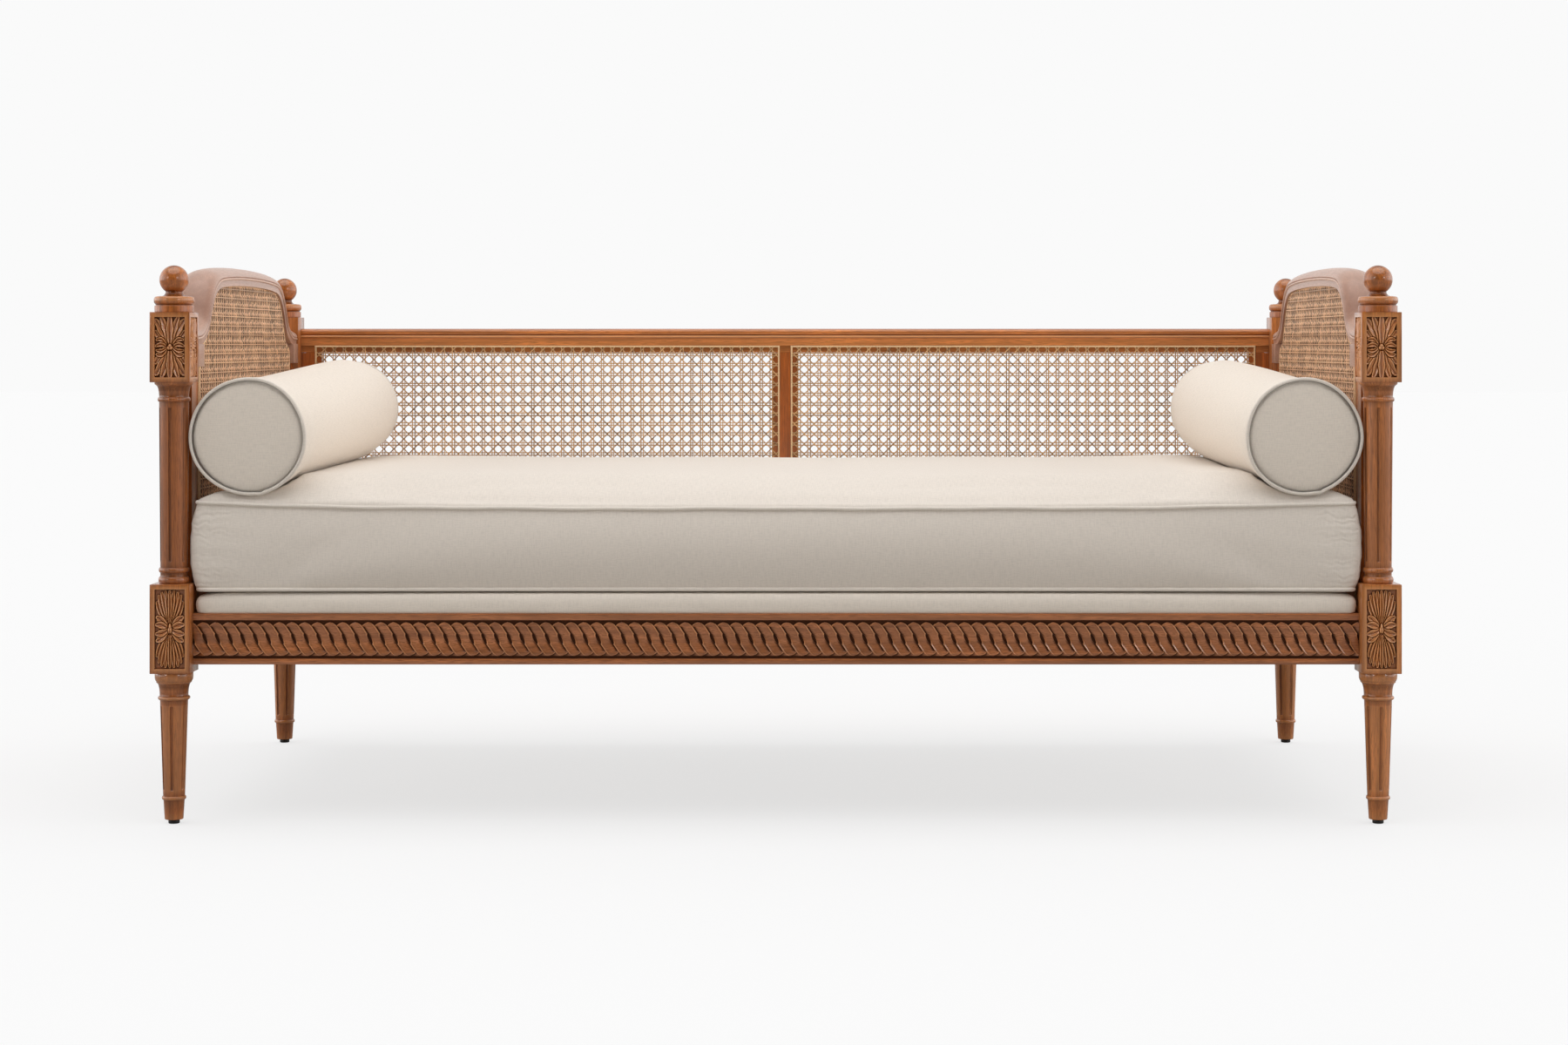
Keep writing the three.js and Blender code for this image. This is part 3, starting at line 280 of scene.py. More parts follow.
def add_node(tree, kind, links=None, **settings):
    """Adds a node with its settings. Links gives the socket, or the node, that feeds each of its inputs, and
    stops the places and colours of a ramp."""
    made = tree.nodes.new(kind)
    inputs = settings.pop("inputs", {})
    stops = settings.pop("stops", ())
    for name, value in settings.items():
        setattr(made, name, value)
    for name, value in inputs.items():
        made.inputs[name].default_value = value
    for name, source in (links or {}).items():
        if isinstance(source, bpy.types.Node):
            source = next(socket for socket in source.outputs if socket.enabled)
        tree.links.new(source, made.inputs[name])
    if stops:
        elements = made.color_ramp.elements
        while len(elements) < len(stops):
            elements.new(0.5)
        for element, (place, colour) in zip(elements, stops):
            element.position = place
            element.color = (*colour, 1)
    return made


def made_once(draw):
    """Lets all pieces that name a finish share one material; draw lays its nodes and returns its shader."""
    made = {}

    @functools.wraps(draw)
    def finish(name, *how, **more):
        if name not in made:
            made[name] = bpy.data.materials.new(name)
            made[name].use_nodes = True
            tree = made[name].node_tree
            tree.nodes.clear()
            add_node(tree, "ShaderNodeOutputMaterial", {"Surface": draw(tree, *how, **more)})
        return made[name]

    return finish


def shade(colour, share):
    """The colour scaled by one share, or by a share for each of red, green and blue."""
    return [min(1, c * part) for c, part in zip(colour, np.broadcast_to(share, 3))]


def grey(value):
    return (value, value, value)


def with_grain(grain, run, across):
    """Cells of a pattern per metre: few along the grain's axis, and many across it."""
    return [run if axis == grain else across for axis in "xyz"]


@made_once
def stained_oak(tree, grain, carved=False, tone=1.0, painted_sheen=0.0):
    """Oak, planed or turned, stained brown, glazed in its hollows and lacquered to a satin sheen. The dark of
    the glazing also paints shade in hollows and on shaded sides, and worn edges are painted paler, partly
    as a highlight. Long dark pores and a slow change of tone follow the grain, and the lacquer gives soft
    clear highlights. A painted sheen, standing for the reflection of the overhead light, makes it pale and
    milky and hides part of the figure and of the gloss."""

    def under_painted_sheen(bare, milky):
        return [b * (1 - painted_sheen) + m * painted_sheen for b, m in zip(bare, milky)]

    def calm(share):
        return 1 + (share - 1) * (1 - painted_sheen)

    stain = under_painted_sheen(shade(colours().stain, tone), linear("#cead9b"))
    place = add_node(tree, PLACE).outputs["Object"]
    # Oak pores are about 0.3 mm wide and 10 mm long; they are drawn 1.1 mm wide and 22 mm long, so that they
    # show
    pores_at = add_node(tree, MAPPING, {"Vector": place}, inputs={"Scale": with_grain(grain, 45, 900)})
    pores = add_node(tree, NOISE, {"Vector": pores_at},
                     inputs={"Scale": 1.0, "Detail": 3.0, "Roughness": 0.6})
    # The figure's bands are about 8 mm wide and run for 200 mm, and the stain took unevenly over about 110 mm
    figure_at = add_node(tree, MAPPING, {"Vector": place}, inputs={"Scale": with_grain(grain, 5, 120)})
    figure = add_node(tree, NOISE, {"Vector": figure_at},
                      inputs={"Scale": 1.0, "Detail": 4.0, "Roughness": 0.55, "Distortion": 0.6})
    cloud = add_node(tree, NOISE, {"Vector": place}, inputs={"Scale": 9.0, "Detail": 2.0})
    tones = add_node(tree, RAMP, {"Fac": figure}, stops=[
        (at, shade(stain, calm(share)))
        for at, share in ((0.3, 0.6), (0.43, 0.87), (0.54, 1.05), (0.68, 1.35))])
    clouds = add_node(tree, RAMP, {"Fac": cloud}, stops=[(0.3, grey(calm(0.86))), (0.7, grey(1.0))])
    toned = add_node(tree, MIX, {"A": tones, "B": clouds}, **OVERLAY)
    pore_mask = add_node(tree, RAMP, {"Fac": pores}, stops=[(0.36, grey(0.0)), (0.52, grey(1.0))])
    colour = add_node(tree, MIX, {"Factor": pore_mask, "B": toned}, data_type="RGBA",
                      inputs={"A": (*shade(stain, calm(0.6)), 1)})
    lacquer = {}
    if carved:
        # Glaze stays in the hollows and paints the shade there and on shaded sides; the raised edges are
        # rubbed paler and carry a painted highlight
        relief = add_node(tree, ATTRIBUTE, attribute_name="relief").outputs["Fac"]
        rubbed_and_highlight = add_node(tree, RAMP, {"Fac": relief}, stops=[(LEVEL, grey(0.0)), (1.0, grey(0.7))])
        pale = under_painted_sheen(linear("#efad73"), linear("#f9eae2"))
        colour = add_node(tree, MIX, {"Factor": rubbed_and_highlight, "A": colour}, data_type="RGBA",
                          inputs={"B": (*pale, 1)})
        light_and_shade_relief = add_node(tree, RAMP, {"Fac": relief},
                         stops=[(0.0, grey(0.06)), (0.3, grey(0.5)), (LEVEL, grey(1.0))])
        dark = under_painted_sheen(colours().glaze_and_shade, linear("#956550"))
        colour = add_node(tree, MIX, {"Factor": light_and_shade_relief, "B": colour}, data_type="RGBA",
                          inputs={"A": (*dark, 1)})
        # The lacquer is thin and dull in the hollows
        lacquer = {
            "Coat Weight": add_node(tree, RAMP, {"Fac": relief}, stops=[(0.1, grey(0.0)), (0.5, grey(0.9))]),
            "Specular IOR Level": add_node(tree, RAMP, {"Fac": relief},
                                           stops=[(0.1, grey(0.1)), (0.5, grey(0.2 + 0.3 * painted_sheen))]),
        }
    rough = add_node(tree, RAMP, {"Fac": pores}, stops=[(0.35, grey(0.52)), (0.6, grey(0.36))])
    bump = add_node(tree, BUMP, {"Height": pore_mask}, inputs={"Strength": 0.25, "Distance": 0.0002})
    return add_node(tree, SHADER, {"Base Color": colour, "Roughness": rough, "Normal": bump, **lacquer},
                    inputs={"IOR": 1.5, "Specular IOR Level": 0.2, "Coat Weight": 0.9,
                            "Coat Roughness": 0.14 + 0.4 * painted_sheen, "Coat IOR": 1.55})


@made_once
def raw_wood(tree, grain, light, dark, run=4, across=90):
    """Planed softwood or birch ply, left bare. Bands of early and late wood, 11 to 17 mm wide, run with the
    grain, and it has no gloss."""
    place = add_node(tree, PLACE).outputs["Object"]
    at = add_node(tree, MAPPING, {"Vector": place}, inputs={"Scale": with_grain(grain, run, across)})
    bands = add_node(tree, NOISE, {"Vector": at}, inputs={"Scale": 1.0, "Detail": 5.0, "Distortion": 0.8})
    colour = add_node(tree, RAMP, {"Fac": bands}, stops=[(0.35, linear(dark)), (0.65, linear(light))])
    bump = add_node(tree, BUMP, {"Height": bands}, inputs={"Strength": 0.3, "Distance": 0.0003})
    return add_node(tree, SHADER, {"Base Color": colour, "Normal": bump},
                    inputs={"Roughness": 0.75, "IOR": 1.45})


@made_once
def split_cane(tree, share):
    """Split rattan with its glossy outer skin. Each strand has its own tone, with fine lines along it, and its
    edges carry painted shade.
    """
    cane = shade(colours().cane, share)
    place = add_node(tree, PLACE).outputs["Object"]
    # The relief value holds each strand's own tone and the painted shade on its edges
    tone = add_node(tree, ATTRIBUTE, attribute_name="relief").outputs["Fac"]
    tones = add_node(tree, RAMP, {"Fac": tone}, stops=[
        (0.0, shade(cane, 0.12)), (0.3, shade(cane, 0.4)), (0.6, cane), (1.0, shade(cane, 1.2))])
    # Fibre lines are about 0.2 mm apart; they are drawn 1.5 mm apart so that they show
    fibres = add_node(tree, NOISE, {"Vector": place}, inputs={"Scale": 650.0, "Detail": 2.0})
    lines = add_node(tree, RAMP, {"Fac": fibres}, stops=[(0.3, grey(0.72)), (0.65, grey(1.0))])
    mixed = add_node(tree, MIX, {"A": tones, "B": lines}, **OVERLAY)
    bump = add_node(tree, BUMP, {"Height": fibres}, inputs={"Strength": 0.3, "Distance": 0.0002})
    return add_node(tree, SHADER, {"Base Color": mixed, "Normal": bump},
                    inputs={"Roughness": 0.4, "IOR": 1.5, "Coat Weight": 0.1, "Coat Roughness": 0.2})


@made_once
def woven_linen(tree, share=1.0, seam_shaded=False):
    """Plain woven linen, washed. Uneven threads make slubs and faint streaks both ways, and loose fibres a
    soft sheen."""
    linen = shade(colours().linen, share)
    threads = add_node(tree, ATTRIBUTE, attribute_name="threads").outputs["Vector"]
    # The threads are about 0.8 mm apart; they are drawn at twice that so that they show
    split = add_node(tree, "ShaderNodeSeparateXYZ", {"Vector": threads})
    waves = []
    for axis in ("X", "Y"):
        turns = add_node(tree, MATH, {0: split.outputs[axis]}, operation="MULTIPLY",
                         inputs={1: 2 * math.pi / sizes().thread_spacing})
        waves.append(add_node(tree, MATH, {0: turns}, operation="SINE"))
    weave = add_node(tree, MATH, {0: waves[0], 1: waves[1]}, operation="MULTIPLY")
    # Slubs are drawn 1.6 mm thick and 17 mm long one way, and 1.9 mm thick and 9 mm long the other way
    slub_fields = []
    for scale in ((620, 60, 1), (110, 520, 1)):
        at = add_node(tree, MAPPING, {"Vector": threads}, inputs={"Scale": scale})
        slub_fields.append(add_node(tree, NOISE, {"Vector": at},
                                    inputs={"Scale": 1.0, "Detail": 2.0, "Roughness": 0.5}))
    slubs = add_node(tree, MATH, {0: slub_fields[0], 1: slub_fields[1]}, operation="ADD")
    slub_share = add_node(tree, MATH, {0: slubs}, operation="MULTIPLY", inputs={1: 0.5})
    tones = add_node(tree, RAMP, {"Fac": slub_share}, stops=[
        (0.36, shade(linen, 0.93)), (0.48, shade(linen, 0.985)), (0.62, shade(linen, 1.03))])
    if seam_shaded:
        # Next to the cushion the welt is painted dark, as the shade in the seam
        depth = add_node(tree, ATTRIBUTE, attribute_name="relief").outputs["Fac"]
        dark = add_node(tree, RAMP, {"Fac": depth},
                        stops=[(0.0, grey(0.12)), (0.5, grey(0.6)), (0.9, grey(1.0))])
        tones = add_node(tree, MIX, {"A": tones, "B": dark}, **OVERLAY)
    cloth = add_node(tree, MATH, {0: slubs, 2: weave}, operation="MULTIPLY_ADD", inputs={1: 1.4})
    # Small level folds, about 11 mm apart, gather the cloth at the cushion's corners
    wander = add_node(tree, NOISE, {"Vector": threads}, inputs={"Scale": 45.0, "Detail": 1.0})
    level = add_node(tree, MATH, {0: split.outputs["Y"]}, operation="MULTIPLY",
                     inputs={1: 2 * math.pi / 0.011})
    level = add_node(tree, MATH, {0: wander, 2: level}, operation="MULTIPLY_ADD", inputs={1: 14.0})
    level = add_node(tree, MATH, {0: level}, operation="SINE")
    gathered = add_node(tree, ATTRIBUTE, attribute_name="gathers").outputs["Fac"]
    folds = add_node(tree, MATH, {0: level, 1: gathered}, operation="MULTIPLY")
    height = add_node(tree, MATH, {0: folds, 2: cloth}, operation="MULTIPLY_ADD", inputs={1: 6.0})
    bump = add_node(tree, BUMP, {"Height": height}, inputs={"Strength": 0.35, "Distance": 0.0003})
    return add_node(tree, SHADER, {"Base Color": tones, "Normal": bump},
                    inputs={"Roughness": 0.92, "IOR": 1.45, "Specular IOR Level": 0.25,
                            "Sheen Weight": 0.12, "Sheen Roughness": 0.5})


@made_once
def moulded_rubber(tree):
    """Black rubber, moulded, with a grain under 1 mm and hardly any gloss."""
    place = add_node(tree, PLACE).outputs["Object"]
    grain = add_node(tree, NOISE, {"Vector": place}, inputs={"Scale": 1500.0, "Detail": 2.0})
    colour = add_node(tree, RAMP, {"Fac": grain}, stops=[(0.3, linear("#131211")), (0.7, linear("#242220"))])
    bump = add_node(tree, BUMP, {"Height": grain}, inputs={"Strength": 0.3, "Distance": 0.0002})
    return add_node(tree, SHADER, {"Base Color": colour, "Normal": bump},
                    inputs={"Roughness": 0.6, "IOR": 1.5})


# Posts

# Levels between which the flutes of the leg and the column are cut, and how far they stop from them
LEG_SHAFT, COLUMN_SHAFT = (45.5, 202.0), (418.0, 688.0)
FLUTE_MARGIN = 9.0
FLUTES = 6
# Points across a flute, as shares of half its width
FLUTE_SHARES = np.array([-1.25, -1.02, -0.98, -0.85, -0.55, 0, 0.55, 0.85, 0.98, 1.02, 1.25])
# Height over which a bead or a neck is judged proud or hollow
PROUD_SPAN = 9.0


def half_round(z, height, inner, outer, steps=8):
    """Profile points of a rounded ring, from z up."""
    turn = np.linspace(0, math.pi, steps + 1)
    return [(inner + (outer - inner) * math.sin(a), z + height * (1 - math.cos(a)) / 2) for a in turn]


def cavetto(z, height, bottom, top, steps=8):
    """Profile points of a hollow that leaves upright and flares out to its top."""
    turn = np.linspace(0, math.pi / 2, steps + 1)
    return [(bottom + (top - bottom) * (1 - math.cos(a)), z + height * math.sin(a)) for a in turn]


def shaft_rows(shaft, r0, r1, half_width):
    """Profile points of a fluted shaft, close together where the flutes end."""
    z0, z1 = shaft
    ends = FLUTE_MARGIN + half_width * np.array([-0.4, 0, 0.06, 0.2, 0.4, 0.65, 1.0])
    middle = np.linspace(z0 + ends[-1], z1 - ends[-1], 9)[1:-1]
    heights = np.concatenate([[z0], z0 + ends, middle, (z1 - ends)[::-1], [z1]])
    return [(r0 + (r1 - r0) * (z - z0) / (z1 - z0), z) for z in heights]


def add_turning(skins, profile, at, flutes=None, columns=64, lit_level=LEVEL):
    """A turned stretch about an upright axis. Flutes is (first angle, bottom, top) of its flutes, and
    lit_level the relief value of its level stretches, which paints them lighter or darker."""
    rings, relief = [], []
    radii, heights = np.array(profile).T
    width = sizes().flute_width / MM / 2
    depth = sizes().flute_depth / MM
    for radius, z in zip(radii, heights):
        # Beads are painted paler, partly worn and partly a highlight, and necks darker, with glaze and painted
        # shade
        proud = radius - radii[np.abs(heights - z) < PROUD_SPAN].mean()
        hollow = np.clip(lit_level + proud * (0.03 if proud > 0 else 0.16), 0.36, 1)
        if flutes:
            phase, z0, z1 = flutes
            spread = width / max(radius, width)
            reach = FLUTE_SHARES[-1] * spread
            past_end = max(0, z0 + FLUTE_MARGIN + width - z, z - (z1 - FLUTE_MARGIN - width)) / width
            round_end = np.sqrt(np.clip(1 - FLUTE_SHARES ** 2 - past_end ** 2, 0, 1)) * (z0 < z < z1)
            angles, cuts = [], []
            for k in range(FLUTES):
                middle = math.radians(phase - 90 + 360 // FLUTES * k)
                land = np.linspace(middle + reach, middle + math.radians(360 // FLUTES) - reach, 6)[1:-1]
                angles += [*(middle + FLUTE_SHARES * spread), *land]
                cuts += [*round_end, *np.zeros(len(land))]
            angles, cuts = np.array(angles), np.array(cuts)
        else:
            angles = np.linspace(0, 2 * math.pi, columns, endpoint=False)
            cuts = np.zeros(columns)
        cut_radius = radius - depth * cuts
        ring = [cut_radius * np.cos(angles), cut_radius * np.sin(angles), np.full(len(angles), z)]
        rings.append(np.stack(ring, axis=1))
        # Painted shade darkens each flute and one of its edges, and a painted highlight lightens the other
        # edge
        steps = np.diff(cuts, append=cuts[:1])
        relief.append(np.clip(hollow - 0.26 * cuts - 0.3 * (steps > 0.3) + 0.2 * (steps < -0.3), 0, 1))
    skins.add_loft(rings, np.concatenate(relief), at)


def leg_profile(half_width):
    head = LEG_SHAFT[1]
    return [(14.2, 7.0), (15.0, 7.8), (16.9, 38.2), (17.0, 39.0), *half_round(39.0, 6.5, 17.3, 19.5)[1:],
            *shaft_rows(LEG_SHAFT, 17.5, 22.5, half_width), *half_round(head, 6.5, 22.6, 26.0)[1:],
            (23.2, 209.2), *cavetto(210.0, 20.0, 23.0, 28.0), (28.5, 230.6), (28.6, 232.4), (29.4, 233.2),
            (30.6, 236.0), (31.0, 239.5), (31.0, 246.2), (30.4, 247.2)]


def column_profile(half_width):
    head = COLUMN_SHAFT[1]
    return [(23.0, 391.5), *half_round(392.0, 11.0, 22.4, 25.0, 12), (22.1, 403.6), (21.9, 405.6),
            (22.0, 408.6), *half_round(409.5, 8.5, 22.0, 24.5),
            *shaft_rows(COLUMN_SHAFT, 22.0, 24.0, half_width),
            *half_round(head, 7.6, 24.1, 26.5), *cavetto(695.8, 19.0, 24.0, 29.0, 10), (29.3, 715.4),
            (30.6, 716.2), (31.4, 717.8), (31.4, 720.3)]


def leaf_heights(u, v, leaves, bud, lobes):
    """Heights from 0 to about 1 of carved leaves, laid one over another, and of a lobed bud, at each point of
    a panel. Lobes is how deep the leaves' edges are scalloped."""
    top = np.zeros_like(u)
    t = np.linspace(0, 1, 90)[:, None]
    for base, bend, tip, width in (
            (*(np.array(end) * way for end in leaf[:3]), leaf[3]) for leaf in leaves for way in leaf[4]):
        spine = (1 - t) ** 2 * base + 2 * t * (1 - t) * bend + t ** 2 * tip
        away = np.hypot(u[..., None] - spine[:, 0], v[..., None] - spine[:, 1])
        along = away.argmin(-1) / (len(t) - 1)
        away = away.min(-1)
        half = width / 2 * np.sin(math.pi * (0.16 + 0.68 * along ** 1.35)) ** 0.8
        half *= 1 + lobes * np.sin(15.5 * along - 1.2)
        q = away / half
        rims = 0.66 + 0.34 * np.clip(q / 0.72, 0, 1) ** 2 - 0.3 * np.exp(-(away / 0.5) ** 2)
        edge = np.sqrt(np.clip(1 - (np.clip(q - 0.72, 0, 1) / 0.28) ** 2, 0, 1))
        rise = 0.74 + 0.26 * np.sin(math.pi * np.clip(0.2 + 0.7 * along, 0, 1))
        cut = 1 - 0.8 * np.exp(-(np.clip(away - half, 0, None) / 0.75) ** 2)
        top = np.where(q < 1, np.maximum(rims * rise * (0.35 + 0.65 * edge), top * 0.2), top * cut)
    bud_u, bud_v = bud
    core = (u / bud_u) ** 2 + (v / bud_v) ** 2
    top *= 1 - 0.85 * np.exp(-(np.clip(np.sqrt(core) - 1, 0, None) * bud_u / 0.8) ** 2)
    for angle in math.pi / 2 + np.arange(3) * 2 * math.pi / 3:
        lobe = ((u - 0.42 * bud_u * math.cos(angle)) / (0.62 * bud_u)) ** 2
        lobe = lobe + ((v - 0.42 * bud_v * math.sin(angle)) / (0.62 * bud_v)) ** 2
        top = np.maximum(top, 1.1 * np.sqrt(np.clip(1 - lobe, 0, 1)))
    return np.clip(top, 0, 1.1)


def cavity(heights, spread):
    """Relief values of a height field: low where a point lies under its surroundings, high where it stands
    proud."""
    around = heights
    for _ in range(spread * 3):
        padded = np.pad(around, 1, mode="edge")
        around = (padded[:-2, 1:-1] + padded[2:, 1:-1] + padded[1:-1, :-2] + padded[1:-1, 2:]
                  + 2 * padded[1:-1, 1:-1]) / 6
    return np.clip(LEVEL + 0.05 + (heights - around) * 0.55, 0.02, 1)


# Leaves of the upper and the lower panels as (base, bend, tip, width, ways) in millimetres from the middle.
# Each is carved once for each of its ways, which turn it left or right and up or down
UP = ((-1, 1), (1, 1))
DOWN = ((-1, -1), (1, -1))
RIGHT_FIRST = ((1, 1), (-1, 1), (1, -1), (-1, -1))
UPPER_LEAVES = (
    ((5, 3), (15, 12), (23.5, 25), 11, UP + DOWN), ((4, 5), (10, 26), (22.5, 43), 13, UP + DOWN),
    ((2, 7), (6, 30), (13, 47), 11, UP + DOWN), ((0, 7), (0, 24), (0, 47.5), 12, ((1, 1), (1, -1))),
    ((6, 3), (12, 16), (21, 12), 8, UP + DOWN), ((6.5, 1), (13, 7), (22, 2), 8, UP),
    ((6.5, 1), (13, 8), (21, 5), 7.5, DOWN),
)
LONG_LEAVES = (
    ((3, 9), (17, 20), (21, 44), 7), ((3, 9), (13, 28), (18, 54), 7.5), ((2, 10), (8.5, 34), (13, 59), 7.5),
    ((1, 10), (4, 36), (6.8, 61), 7.5),
)
LOWER_LEAVES = (
    *((*leaf, UP) for leaf in LONG_LEAVES), ((0, 10), (0.4, 36), (0, 61.5), 7, ((1, 1),)),
    *((*leaf, DOWN) for leaf in LONG_LEAVES), ((0, 10), (0.4, 36), (0, 61.5), 7, ((-1, -1),)),
    ((4, 3), (14, 16), (20, 19), 12, RIGHT_FIRST), ((4, 2), (13, 8), (21, 7), 12, RIGHT_FIRST[:2]),
    ((4, 2), (13, 8), (21, 8), 12, RIGHT_FIRST[2:]),
)


def add_carved_block(skins, levels, turns, leaves, bud, lobes, at):
    """A square block with eased edges and a sunk panel of leaves on some sides; turn 0 is the front."""
    z0, z1 = levels
    half = BLOCK / 2
    across, up = half - PANEL_MARGIN, (z1 - z0) / 2 - PANEL_MARGIN
    bm = bmesh.new()
    layer = bm.verts.layers.float.new("relief")
    bmesh.ops.create_cube(bm, size=1)
    for vert in bm.verts:
        vert.co = (vert.co.x * BLOCK, vert.co.y * BLOCK, vert.co.z * (z1 - z0) + (z0 + z1) / 2)
    bmesh.ops.bevel(bm, geom=bm.edges[:], offset=0.9, segments=2, profile=0.5, affect="EDGES")
    for vert in bm.verts:
        vert[layer] = 0.63
    wall = np.array([0, 0.25, 0.6])
    us, vs = (np.concatenate([wall - reach, np.arange(-reach + 1.2, reach - 1, step), reach - wall[::-1]])
              for reach, step in ((across, 0.72), (up, 0.82)))
    u, v = np.meshgrid(us, vs)
    heights = leaf_heights(u, v, leaves, bud, lobes)
    drop = PANEL_DEPTH - heights * sizes().leaf_relief / MM
    edge = np.minimum(across - np.abs(u), up - np.abs(v))
    drop = np.minimum(drop, np.interp(edge, [0, 0.25, 0.6, 1.2], [0, 3.4, 4.7, 5.0]))
    # Hollows among the leaves get low relief values, for glaze and painted shade, and the panel's border edge
    # a high one, for a painted highlight
    relief = cavity(-drop, 2)
    relief[edge < 0.1] = 0.85
    for turn in turns:
        spin = Matrix.Rotation(math.radians(90 * turn), 4, "Z")
        bmesh.ops.transform(bm, matrix=spin.inverted(), verts=bm.verts)
        bm.faces.ensure_lookup_table()
        side = max((f for f in bm.faces if f.normal.y < -0.99), key=lambda f: f.calc_area())
        corners = {(c.co.x > 0, c.co.z > (z0 + z1) / 2): c for c in side.verts}
        bm.faces.remove(side)
        grid = [[bm.verts.new((u[j, i], -half + drop[j, i], v[j, i] + (z0 + z1) / 2))
                 for i in range(len(us))] for j in range(len(vs))]
        for j, row in enumerate(grid):
            for i, vert in enumerate(row):
                vert[layer] = relief[j, i]
        for j in range(len(vs) - 1):
            for i in range(len(us) - 1):
                bm.faces.new((grid[j][i], grid[j][i + 1], grid[j + 1][i + 1], grid[j + 1][i]))
        low_left, low_right = corners[False, False], corners[True, False]
        top_left, top_right = corners[False, True], corners[True, True]
        bm.faces.new([low_left, low_right, *grid[0][::-1]])
        bm.faces.new([low_right, top_right, *[row[-1] for row in grid[::-1]]])
        bm.faces.new([top_right, top_left, *grid[-1]])
        bm.faces.new([top_left, low_left, *[row[0] for row in grid]])
        bmesh.ops.transform(bm, matrix=spin, verts=bm.verts)
    skins.add_bmesh(bm, at)


# Angle of the first flute from the front, for the column and the leg of each post
FLUTE_PHASES = {
    "front_left": (-3, 3), "front_right": (-8, 4), "rear_left": (20, 26), "rear_right": (-10, 24),
}
# The posts of the two sides are the same oak, drawn darker at the left as painted shade and lighter at
# the right as painted light
POST_OAKS_LIT_AND_SHADED = {
    -1: ("stained_oak_left_posts", (0.91, 0.86, 0.7)),
    1: ("stained_oak_right_posts", (1.12, 1.17, 1.1)),
}


def turn_posts():
    """Turns and carves the four posts."""
    half_width = sizes().flute_width / MM / 2
    for name, side, end in CORNERS:
        at = (side * POST_X, end * POST_Y, 0)
        outer_turn, inner_turn = (3, 1) if side < 0 else (1, 3)
        upper_turns = [0, inner_turn, outer_turn] if end < 0 else [outer_turn]
        lower_turns = [0, outer_turn] if end < 0 else [outer_turn]
        column_phase, leg_phase = FLUTE_PHASES[name]
        skins = Skins()
        # The leg's level stretches are drawn a little paler, as painted light, and the column's a little
        # darker
        add_turning(skins, leg_profile(half_width), at, (leg_phase, *LEG_SHAFT), lit_level=LEVEL + 0.08)
        add_carved_block(skins, LOWER_BLOCK, lower_turns, LOWER_LEAVES, (3.8, 9.2), 0.0, at)
        add_turning(skins, column_profile(half_width), at, (column_phase, *COLUMN_SHAFT), lit_level=LEVEL - 0.04)
        add_carved_block(skins, UPPER_BLOCK, upper_turns, UPPER_LEAVES, (5.4, 5.6), 0.07, at)
        oak, tone = POST_OAKS_LIT_AND_SHADED[side]
        make_piece(f"{name}_carved_post", skins, stained_oak(oak, "z", True, tone),
                   replaces=[f"{name}_post"])


def turn_finials():
    """Turns the four ball finials."""
    ball_z, ball_r, seat_r = 887.1, 23.5, 13.2
    turns = np.linspace(math.asin(seat_r / ball_r), math.pi - 0.05, 26)
    ball = [(ball_r * math.sin(a), ball_z - ball_r * math.cos(a)) for a in turns]
    neck = [(20.5 - 6.9 * math.sin(a), 860.4 + 7.0 * (1 - math.cos(a)))
            for a in np.linspace(0, math.pi / 2, 8)]
    profile = [(30.9, 834.3), (31.5, 834.9), (31.5, 844.2), (30.9, 844.9), (29.3, 845.1), (29.0, 846.0),
               *half_round(847.1, 12.4, 29.2, 32.5, 12)[1:-1], (28.2, 859.7), (24.5, 860.3), *neck, *ball]
    oak = stained_oak("stained_oak_finials", "z", True, (0.98, 0.86, 0.5))
    for name, side, end in CORNERS:
        skins = Skins()
        add_turning(skins, profile, (side * POST_X, end * POST_Y, 0))
        make_piece(f"{name}_ball_finial", skins, oak, replaces=[f"{name}_finial"])


def press_glides():
    """Moulds the four glides under the legs."""
    profile = [(8.0, 0.0), (8.8, 0.4), (9.2, 1.2), (9.2, 5.8), (8.8, 6.5), (8.0, 6.7), (4.0, 6.7),
               (4.0, 18.0)]
    rubber = moulded_rubber("moulded_black_rubber")
    for name, side, end in CORNERS:
        skins = Skins()
        add_turning(skins, profile, (side * POST_X, end * POST_Y, 0), columns=40)
        make_piece(f"{name}_rubber_glide", skins, rubber, replaces=[f"{name}_glide"])


# Seat rails

# A strand's edge from the middle of the eye, as (up or down, back along the rail), in millimetres
ROPE_EDGE = (
    (0, 0), (4, 1.7), (8, 3.7), (11.3, 5.9), (15, 8.4), (18.5, 10.6), (21.3, 12.8), (23.5, 15.2),
    (25.1, 17.6), (26.3, 20.0), (27.0, 21.9), (27.3, 23.4), (27.4, 25.0))
ROPE_EYE_HALF, ROPE_EYE_WIDTH = 8.2, 3.0
ROPE_TOP, ROPE_TIP = 27.3, 23.4
# Relief value of the ground that shows between the strands; it is drawn nearly black, with glaze and painted
# shade
ROPE_GROUND = 0.03
# How far a seat rail's face lies back from the posts' faces, its thickness, and the depth of its sunk band
RAIL_SETBACK, RAIL_THICKNESS, BAND_SINK = 22, 30, 4.6
RAIL_TONE = (1.04, 1.15, 1.55)


